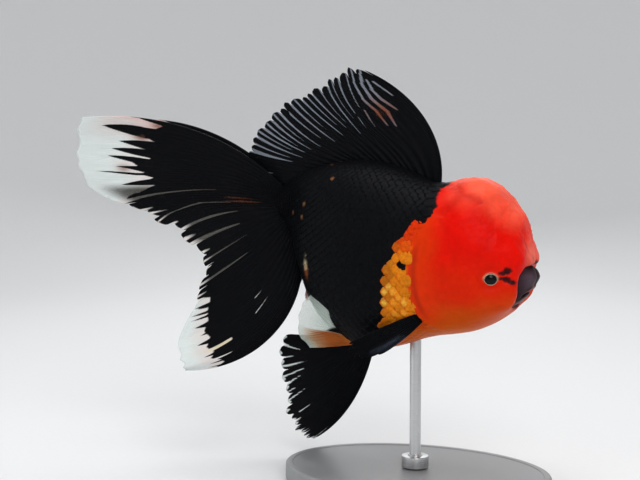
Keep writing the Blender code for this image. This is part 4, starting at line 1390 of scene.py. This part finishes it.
def build_base():
    """The oval foot of the stand: a thick disc with a rounded rim and a shallow step on top."""
    low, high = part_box("stand_base")
    deselect()
    middle, scale = (low + high) / 2, tuple(high - low)
    bpy.ops.mesh.primitive_cylinder_add(vertices=180, radius=0.5, depth=1.0, location=middle, scale=scale)
    obj = place_in_mesh(named("base_plate"))
    edit_faces(obj, is_top)
    bpy.ops.mesh.inset(thickness=3.0 * MM)
    bpy.ops.mesh.inset(thickness=0.5 * MM)
    bpy.ops.transform.translate(value=(0, 0, -0.4 * MM))
    bpy.ops.object.mode_set(mode="OBJECT")
    return modify(obj, "BEVEL", width=1.2 * MM, segments=5, limit_method="ANGLE", angle_limit=SHARP)


COLLAR_HEIGHT, COLLAR_STEP, ROD_RADIUS = 5.0 * MM, 0.6 * MM, 2.5 * MM


def build_rod():
    """The turned collar and the round rod that holds the fish, from one cylinder primitive."""
    low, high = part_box("stand_rod")
    middle = (low + high) / 2
    collar = (high.x - low.x) / 2
    deselect()
    foot = (middle.x, middle.y, low.z + COLLAR_HEIGHT / 2)
    bpy.ops.mesh.primitive_cylinder_add(vertices=96, radius=collar, depth=COLLAR_HEIGHT, location=foot)
    obj = place_in_mesh(named("rod"))
    edit_faces(obj, is_top)
    # The collar's top steps up and in, and the rod rises from that
    for inwards, rise in (
        (collar - ROD_RADIUS - COLLAR_STEP, COLLAR_STEP),
        (COLLAR_STEP, high.z - low.z - COLLAR_HEIGHT - COLLAR_STEP),
    ):
        bpy.ops.mesh.inset(thickness=inwards)
        bpy.ops.mesh.extrude_region_move(TRANSFORM_OT_translate={"value": (0, 0, rise)})
    bpy.ops.object.mode_set(mode="OBJECT")
    return modify(obj, "BEVEL", width=0.5 * MM, segments=4, limit_method="ANGLE", angle_limit=SHARP)


def powder_coat_material():
    """Satin powder coat baked on steel: an even grey with a fine orange peel of lumps 0.8 mm apart."""
    made, tree, shader, place = new_material("satin_powder_coat", Roughness=0.45, IOR=1.5)
    peel = add_node(tree, "TexNoise", {"Vector": place, "Scale": 1300.0, "Detail": 2.0})
    cloud = add_node(tree, "TexNoise", {"Vector": place, "Scale": 90.0, "Detail": 5.0})
    colour = shaded(tree, hue("base_grey"), cloud, 0.92, 1.06)
    rough = add_node(tree, "MapRange", {"Value": cloud, **NOISE_SPAN, "To Min": 0.4, "To Max": 0.5})
    dent = add_node(tree, "Bump", {"Height": peel, "Strength": 0.25, "Distance": 0.0001})
    fill(tree, shader, {"Base Color": colour, "Roughness": rough, "Normal": dent})
    return made


def brushed_steel_material():
    """Turned and brushed stainless steel: fine marks run round the rod, about 0.15 mm apart."""
    made, tree, shader, place = new_material("brushed_stainless_steel", Metallic=1.0, Roughness=0.3)
    drawn = add_node(tree, "Mapping", {"Vector": place, "Scale": (60.0, 60.0, 6500.0)})
    marks = add_node(tree, "TexNoise", {"Vector": drawn, "Scale": 1.0, "Detail": 4.0})
    rough = add_node(tree, "MapRange", {"Value": marks, **NOISE_SPAN, "To Min": 0.24, "To Max": 0.42})
    colour = shaded(tree, hue("steel"), marks, 0.88, 1.05)
    dent = add_node(tree, "Bump", {"Height": marks, "Strength": 0.12, "Distance": 0.00004})
    fill(tree, shader, {"Base Color": colour, "Roughness": rough, "Normal": dent})
    return made


# ---------------------------------------------------------------- studio

FLOOR_RADIUS, WALL_HEIGHT, WALL_BEND = 1.6, 1.8, 0.7
FLOOR_COLUMNS, FLOOR_ROWS = 96, 40
FLAT_SHARE, BENT_SHARE = 0.45, 0.75  # shares of the rows at which the bend starts and ends


def build_floor():
    """A round pale floor that curves up into a wall on every side."""
    obj, column, row = grid("studio_floor", FLOOR_COLUMNS, FLOOR_ROWS)
    turn = 2 * np.pi * column / FLOOR_COLUMNS
    along = row / FLOOR_ROWS
    bend = np.clip((along - FLAT_SHARE) / (BENT_SHARE - FLAT_SHARE), 0, 1) * np.pi / 2
    radius = np.minimum(along / FLAT_SHARE, 1) * (FLOOR_RADIUS - WALL_BEND) + WALL_BEND * np.sin(bend)
    wall = np.clip((along - BENT_SHARE) / (1 - BENT_SHARE), 0, 1) * (WALL_HEIGHT - WALL_BEND)
    height = WALL_BEND * (1 - np.cos(bend)) + wall
    move_points(obj, np.column_stack([radius * np.cos(turn), radius * np.sin(turn), height]))
    with mesh_of(obj) as bm:
        bmesh.ops.remove_doubles(bm, verts=bm.verts, dist=1e-5)
        bm.normal_update()
        if min(bm.verts, key=lambda v: v.co.length).normal.z < 0:
            bmesh.ops.reverse_faces(bm, faces=bm.faces)
    only(obj)
    bpy.ops.object.shade_smooth()
    obj.data.materials.append(paper_material())


def paper_material():
    """Matt pale backdrop paper, with a faint fibre."""
    made, tree, shader, place = new_material("backdrop_paper", Roughness=0.9)
    fibre = add_node(tree, "TexNoise", {"Vector": place, "Scale": 300.0, "Detail": 3.0})
    shade = add_node(tree, "MapRange", {"Value": fibre, "To Min": 0.985, "To Max": 1.015})
    colour = add_node(tree, "VectorMath", {0: hue("paper"), 1: shade}, operation="MULTIPLY")
    fill(tree, shader, {"Base Color": colour})
    return made


SUBJECT = (-0.03, 0.0, 0.09)  # the middle of the fish, in metres


def add_softbox(label, place, size, power):
    """A square area light turned towards the fish."""
    deselect()
    bpy.ops.object.light_add(type="AREA", location=place)
    lamp = bpy.context.active_object
    lamp.name = label
    lamp.data.shape, lamp.data.size, lamp.data.energy = "SQUARE", size, power
    lamp.rotation_euler = (Vector(SUBJECT) - Vector(place)).to_track_quat("-Z", "Y").to_euler()


CAMERA_TARGET, CAMERA_DISTANCE = (-0.0392, -0.0158, 0.109), 0.469
CAMERA_AZIMUTH, CAMERA_ELEVATION = 22.0, 3.0


def add_camera():
    """The camera at the viewing angle of the whole fish from its right side, a little ahead."""
    turn, rise = math.radians(CAMERA_AZIMUTH), math.radians(CAMERA_ELEVATION)
    back = Vector((math.sin(turn) * math.cos(rise), -math.cos(turn) * math.cos(rise), math.sin(rise)))
    deselect()
    bpy.ops.object.camera_add(location=Vector(CAMERA_TARGET) + back * CAMERA_DISTANCE)
    camera = bpy.context.active_object
    camera.name = "camera"
    camera.data.lens, camera.data.sensor_width = 60.0, 36.0
    camera.data.clip_start = 0.01
    camera.rotation_euler = (-back).to_track_quat("-Z", "Y").to_euler()
    bpy.context.scene.camera = camera


# ---------------------------------------------------------------- add-on


def colour_setting(label, about, code):
    """A colour of the panel, from its sRGB hex value."""
    kind = {"subtype": "COLOR", "size": 3, "min": 0, "max": 1}
    return FloatVectorProperty(name=label, description=about, default=linear(code), **kind)


def length_setting(label, about, value):
    """A length of the panel, in metres."""
    return FloatProperty(name=label, description=about, default=value, unit="LENGTH", precision=5)


def lamp_setting(label, about, value, unit="POWER"):
    """A strength of light of the panel."""
    return FloatProperty(name=label, description=about, default=value, min=0, unit=unit)


class OrandaSizes(bpy.types.PropertyGroup):
    """Sizes that shape the skin, the scales and the fins."""

    skin_voxel: length_setting("Skin grain", "Size of the skin's cells before the head is refined", 0.89 * MM)
    coat_depth: length_setting("Coat depth", "How far the skin lies inside the body's outline", 0.35 * MM)
    scale_length: length_setting("Scale length", "Spacing of the largest scales along the body", 3.8 * MM)
    scale_width: length_setting("Scale width", "Spacing of the largest scale rows", 2.4 * MM)
    fin_thickness: length_setting("Fin thickness", "Thickness of the rays at a fin's root", 1.1 * MM)


class OrandaColours(bpy.types.PropertyGroup):
    """Colours of the fish, its stand and the studio."""

    growth_red: colour_setting("Growth red", "Red of the growth on the head", "DC0E03")
    # Painted shade in the folds of the growth
    growth_fold_shade: colour_setting("Growth folds", "Deeper red in the folds of the growth", "B40803")
    # Painted highlight on top of the crown
    growth_highlight_pink: colour_setting("Growth pink", "Paler red on top of the crown", "FF6446")
    cheek_orange: colour_setting("Cheek", "Red-orange of cheek and gill cover", "CC2003")
    chin_tan: colour_setting("Chin", "Orange-tan of chin and lower cheek", "C44A08")
    gill_orange: colour_setting("Gill edge", "Orange behind the gill", "D23205")
    gold: colour_setting("Gold", "Gold of the first scales", "D67A14")
    # Painted glints on the black scales
    glint_gold: colour_setting("Flecks", "Dull gold of the flecks on the back", "9A6A44")
    scale_brown: colour_setting("Scale brown", "Brown of the last gold scales before the black", "8A4A10")
    # Painted highlight on the gold scales
    gold_highlight: colour_setting("Bright gold", "Light spots on the gold scales", "FFCC50")
    throat_orange: colour_setting("Throat", "Orange of the throat", "CA5A0A")
    nose_pink: colour_setting("Nose pad", "Pale pink-red of the pad over the mouth", "EA7C68")
    # Dark red of lip and blotches, also used as painted shade in the fold round the muzzle and the gill's
    # groove
    lip_red_and_groove_shade: colour_setting("Lip", "Dark red of the lower lip and blotches", "7A1410")
    # Painted highlight on the bulbs of the upper lip
    lip_grey_highlight: colour_setting("Upper lip", "Grey violet of the upper lip's swellings", "62545F")
    nostril_dark: colour_setting("Nostril", "Black-brown of the marks round the nostrils", "1C1114")
    muzzle_dark: colour_setting("Muzzle", "Purple-grey of the muzzle", "1F161C")
    # Painted highlight on the upper rim round the eye
    eye_rim_highlight: colour_setting("Eye rim", "Pale skin round the eye", "D8BC98")
    velvet_black: colour_setting("Body black", "Black of trunk and tail stalk", "07080B")
    fin_black: colour_setting("Fin black", "Black pigment of the fins", "07080B")
    fin_clear: colour_setting("Slit edge", "Pale gaps of the dorsal fin", "767D88")
    fin_white: colour_setting("Fin tip", "Milky white of the clear tips", "E4ECEA")
    fin_pale: colour_setting("Pelvic fan", "Pale grey-green of the raised pelvic fin", "C8D4CC")
    # Painted shade in the thin gaps of the tail
    fin_gap_shade: colour_setting("Fin gap", "Dull grey of the thin gaps between the tail's rays", "474641")
    fin_pink: colour_setting("Fin pink", "Pink tint near the top of the tail", "D8A098")
    fin_brown: colour_setting("Fin brown", "Brown of gaps near a fin's root", "7A3C1C")
    fin_orange: colour_setting("Fin orange", "Orange at the root of the raised pelvic fin", "BE6A2C")
    fin_cream: colour_setting("Fin cream", "Cream streaks in the tail and pelvic fin", "D8C8A0")
    # Painted highlight streaks of the pectoral fins
    fin_highlight_blue: colour_setting("Fin streak", "Blue-grey streaks of the pectoral fins", "5A6478")
    iris_gold: colour_setting("Iris", "Pale gold ring of the eye", "B8AC92")
    pupil_black: colour_setting("Pupil", "Black of the pupil", "040406")
    base_grey: colour_setting("Base", "Grey of the stand's foot", "8C8E90")
    steel: colour_setting("Steel", "Stainless steel of the rod", "C8C9CA")
    paper: colour_setting("Backdrop", "Pale paper of floor and wall", "E8E9EA")


class OrandaStudio(bpy.types.PropertyGroup):
    """Power of the lamps."""

    key_power: lamp_setting("Key", "Power of the main softbox", 5.0)
    fill_power: lamp_setting("Fill", "Power of the fill softbox", 1.6)
    top_power: lamp_setting("Top", "Power of the softbox overhead", 6.0)
    back_power: lamp_setting("Back", "Power of the softbox behind", 2.0)
    sky: lamp_setting("Room light", "Strength of the even light from the room", 0.32, "NONE")


def shared(label, maker):
    return bpy.data.materials.get(label) or maker()


class ORANDA_OT_skin(bpy.types.Operator):
    """Build the skin of body and head and paint its markings"""

    bl_idname = "oranda.skin"
    bl_label = "Skin"

    def execute(self, context):
        finish_piece(build_skin(), "skin", skin_material(), FLESH)
        return {"FINISHED"}


class ORANDA_OT_scales(bpy.types.Operator):
    """Lay the scales over both sides of the trunk"""

    bl_idname = "oranda.scales"
    bl_label = "Scales"

    def execute(self, context):
        for side, label in ((-1, "scales_right"), (1, "scales_left")):
            piece = build_scales(bpy.data.objects["skin"], side, label)
            finish_piece(piece, label, shared("horny_goldfish_scales", scale_material))
        return {"FINISHED"}


class ORANDA_OT_eyes(bpy.types.Operator):
    """Set both eyes in the head"""

    bl_idname = "oranda.eyes"
    bl_label = "Eyes"

    def execute(self, context):
        for side, label in ((-1, "eye_right"), (1, "eye_left")):
            piece = build_eye(side, label + "_ball")
            finish_piece(piece, label + "_ball", shared("wet_fish_eye", eye_material), (label,))
        return {"FINISHED"}


def add_fin(label, root, rays, leans, side, look, nodes):
    piece = build_fin(label, root, rays, leans, side, dict(zip(FIN_KEYS, FIN_ROWS[look])))
    finish_piece(piece, label, shared("rayed_fin_membrane", fin_material), nodes)


class ORANDA_OT_dorsal_fin(bpy.types.Operator):
    """Build the dorsal fin"""

    bl_idname = "oranda.dorsal_fin"
    bl_label = "Dorsal fin"

    def execute(self, context):
        add_fin("fin_dorsal", DORSAL_ROOT, DORSAL_RAYS, (0, 0), 1, "dorsal", ("dorsal_fin",))
        return {"FINISHED"}


class ORANDA_OT_tail(bpy.types.Operator):
    """Build both halves of the double tail"""

    bl_idname = "oranda.tail"
    bl_label = "Tail"

    def execute(self, context):
        halves = (("right", TAIL_RIGHT_RAYS, (16, 17), -1), ("left", TAIL_LEFT_RAYS, (1, -3), 1))
        for name, rays, leans, side in halves:
            nodes = ("tail_upper_" + name, "tail_lower_" + name)
            add_fin("tail_" + name, TAIL_ROOT, rays, leans, side, "tail", nodes)
        return {"FINISHED"}


class ORANDA_OT_paired_fins(bpy.types.Operator):
    """Build the pectoral, pelvic and anal fins of both sides"""

    bl_idname = "oranda.paired_fins"
    bl_label = "Paired fins"

    def execute(self, context):
        for kind, name, root, rays, leans, side, look in (
            ("pelvic", "right", PELVIC_RIGHT_ROOT, PELVIC_RIGHT_RAYS, (20, 32), -1, "raised_pelvic"),
            ("pelvic", "left", PELVIC_LEFT_ROOT, PELVIC_LEFT_RAYS, (12, 5), 1, "low_pelvic"),
            ("pectoral", "right", PECTORAL_ROOT, PECTORAL_RIGHT_RAYS, (24, -2), -1, "pectoral"),
            ("pectoral", "left", PECTORAL_ROOT, PECTORAL_LEFT_RAYS, (26, 0), 1, "pectoral"),
            ("anal", "right", ANAL_ROOT, ANAL_RAYS, (6, 6), -1, "anal"),
            ("anal", "left", ANAL_ROOT, ANAL_RAYS, (6, 6), 1, "anal"),
        ):
            add_fin(f"fin_{kind}_{name}", root, rays, leans, side, look, (f"{kind}_fin_{name}",))
        return {"FINISHED"}


class ORANDA_OT_stand(bpy.types.Operator):
    """Build the foot and the rod of the display stand"""

    bl_idname = "oranda.stand"
    bl_label = "Stand"

    def execute(self, context):
        finish_piece(build_base(), "base_plate", powder_coat_material(), ("stand_base",))
        finish_piece(build_rod(), "rod", brushed_steel_material(), ("stand_rod",))
        for label in ("base_plate", "rod"):
            only(bpy.data.objects[label])
            bpy.ops.object.shade_smooth_by_angle(angle=math.radians(35))
        return {"FINISHED"}


class ORANDA_OT_studio(bpy.types.Operator):
    """Add the floor, the lamps, the room light and the camera"""

    bl_idname = "oranda.studio"
    bl_label = "Studio"

    def execute(self, context):
        studio = context.scene.oranda_studio
        build_floor()
        add_softbox("key_softbox", (0.45, -0.75, 0.75), 0.6, studio.key_power)
        add_softbox("fill_softbox", (-0.8, -0.64, 0.46), 0.7, studio.fill_power)
        add_softbox("top_softbox", (0.0, 0.0, 1.1), 0.8, studio.top_power)
        add_softbox("back_softbox", (-0.3, 0.85, 0.6), 0.7, studio.back_power)
        context.scene.world = world = bpy.data.worlds.new("room")
        world.use_nodes = True
        room = world.node_tree
        fill(room, room.nodes["Background"], {"Color": (1, 1, 1, 1), "Strength": studio.sky})
        context.scene.view_settings.view_transform = "Standard"
        add_camera()
        return {"FINISHED"}


PIECES = (
    ORANDA_OT_skin,
    ORANDA_OT_scales,
    ORANDA_OT_eyes,
    ORANDA_OT_dorsal_fin,
    ORANDA_OT_tail,
    ORANDA_OT_paired_fins,
    ORANDA_OT_stand,
    ORANDA_OT_studio,
)


class ORANDA_PT_panel(bpy.types.Panel):
    """Lists the pieces of the goldfish and their settings"""

    bl_label = "Oranda goldfish"
    bl_idname = "ORANDA_PT_panel"
    bl_space_type = "VIEW_3D"
    bl_region_type = "UI"
    bl_category = "Oranda"

    def draw(self, context):
        for piece in PIECES:
            self.layout.operator(piece.bl_idname)
        scene = context.scene
        for settings in (scene.oranda_sizes, scene.oranda_colours, scene.oranda_studio):
            box = self.layout.box()
            for key in settings.bl_rna.properties.keys():
                if key not in ("rna_type", "name"):
                    box.prop(settings, key)


CLASSES = (OrandaSizes, OrandaColours, OrandaStudio, *PIECES, ORANDA_PT_panel)


def register():
    for cls in CLASSES:
        bpy.utils.register_class(cls)
    bpy.types.Scene.oranda_sizes = PointerProperty(type=OrandaSizes)
    bpy.types.Scene.oranda_colours = PointerProperty(type=OrandaColours)
    bpy.types.Scene.oranda_studio = PointerProperty(type=OrandaStudio)


def unregister():
    del bpy.types.Scene.oranda_studio
    del bpy.types.Scene.oranda_colours
    del bpy.types.Scene.oranda_sizes
    for cls in reversed(CLASSES):
        bpy.utils.unregister_class(cls)


def main():
    register()
    bpy.ops.oranda.skin()
    bpy.ops.oranda.scales()
    bpy.ops.oranda.eyes()
    bpy.ops.oranda.dorsal_fin()
    bpy.ops.oranda.tail()
    bpy.ops.oranda.paired_fins()
    bpy.ops.oranda.stand()
    bpy.ops.oranda.studio()


if __name__ == "__main__":
    main()
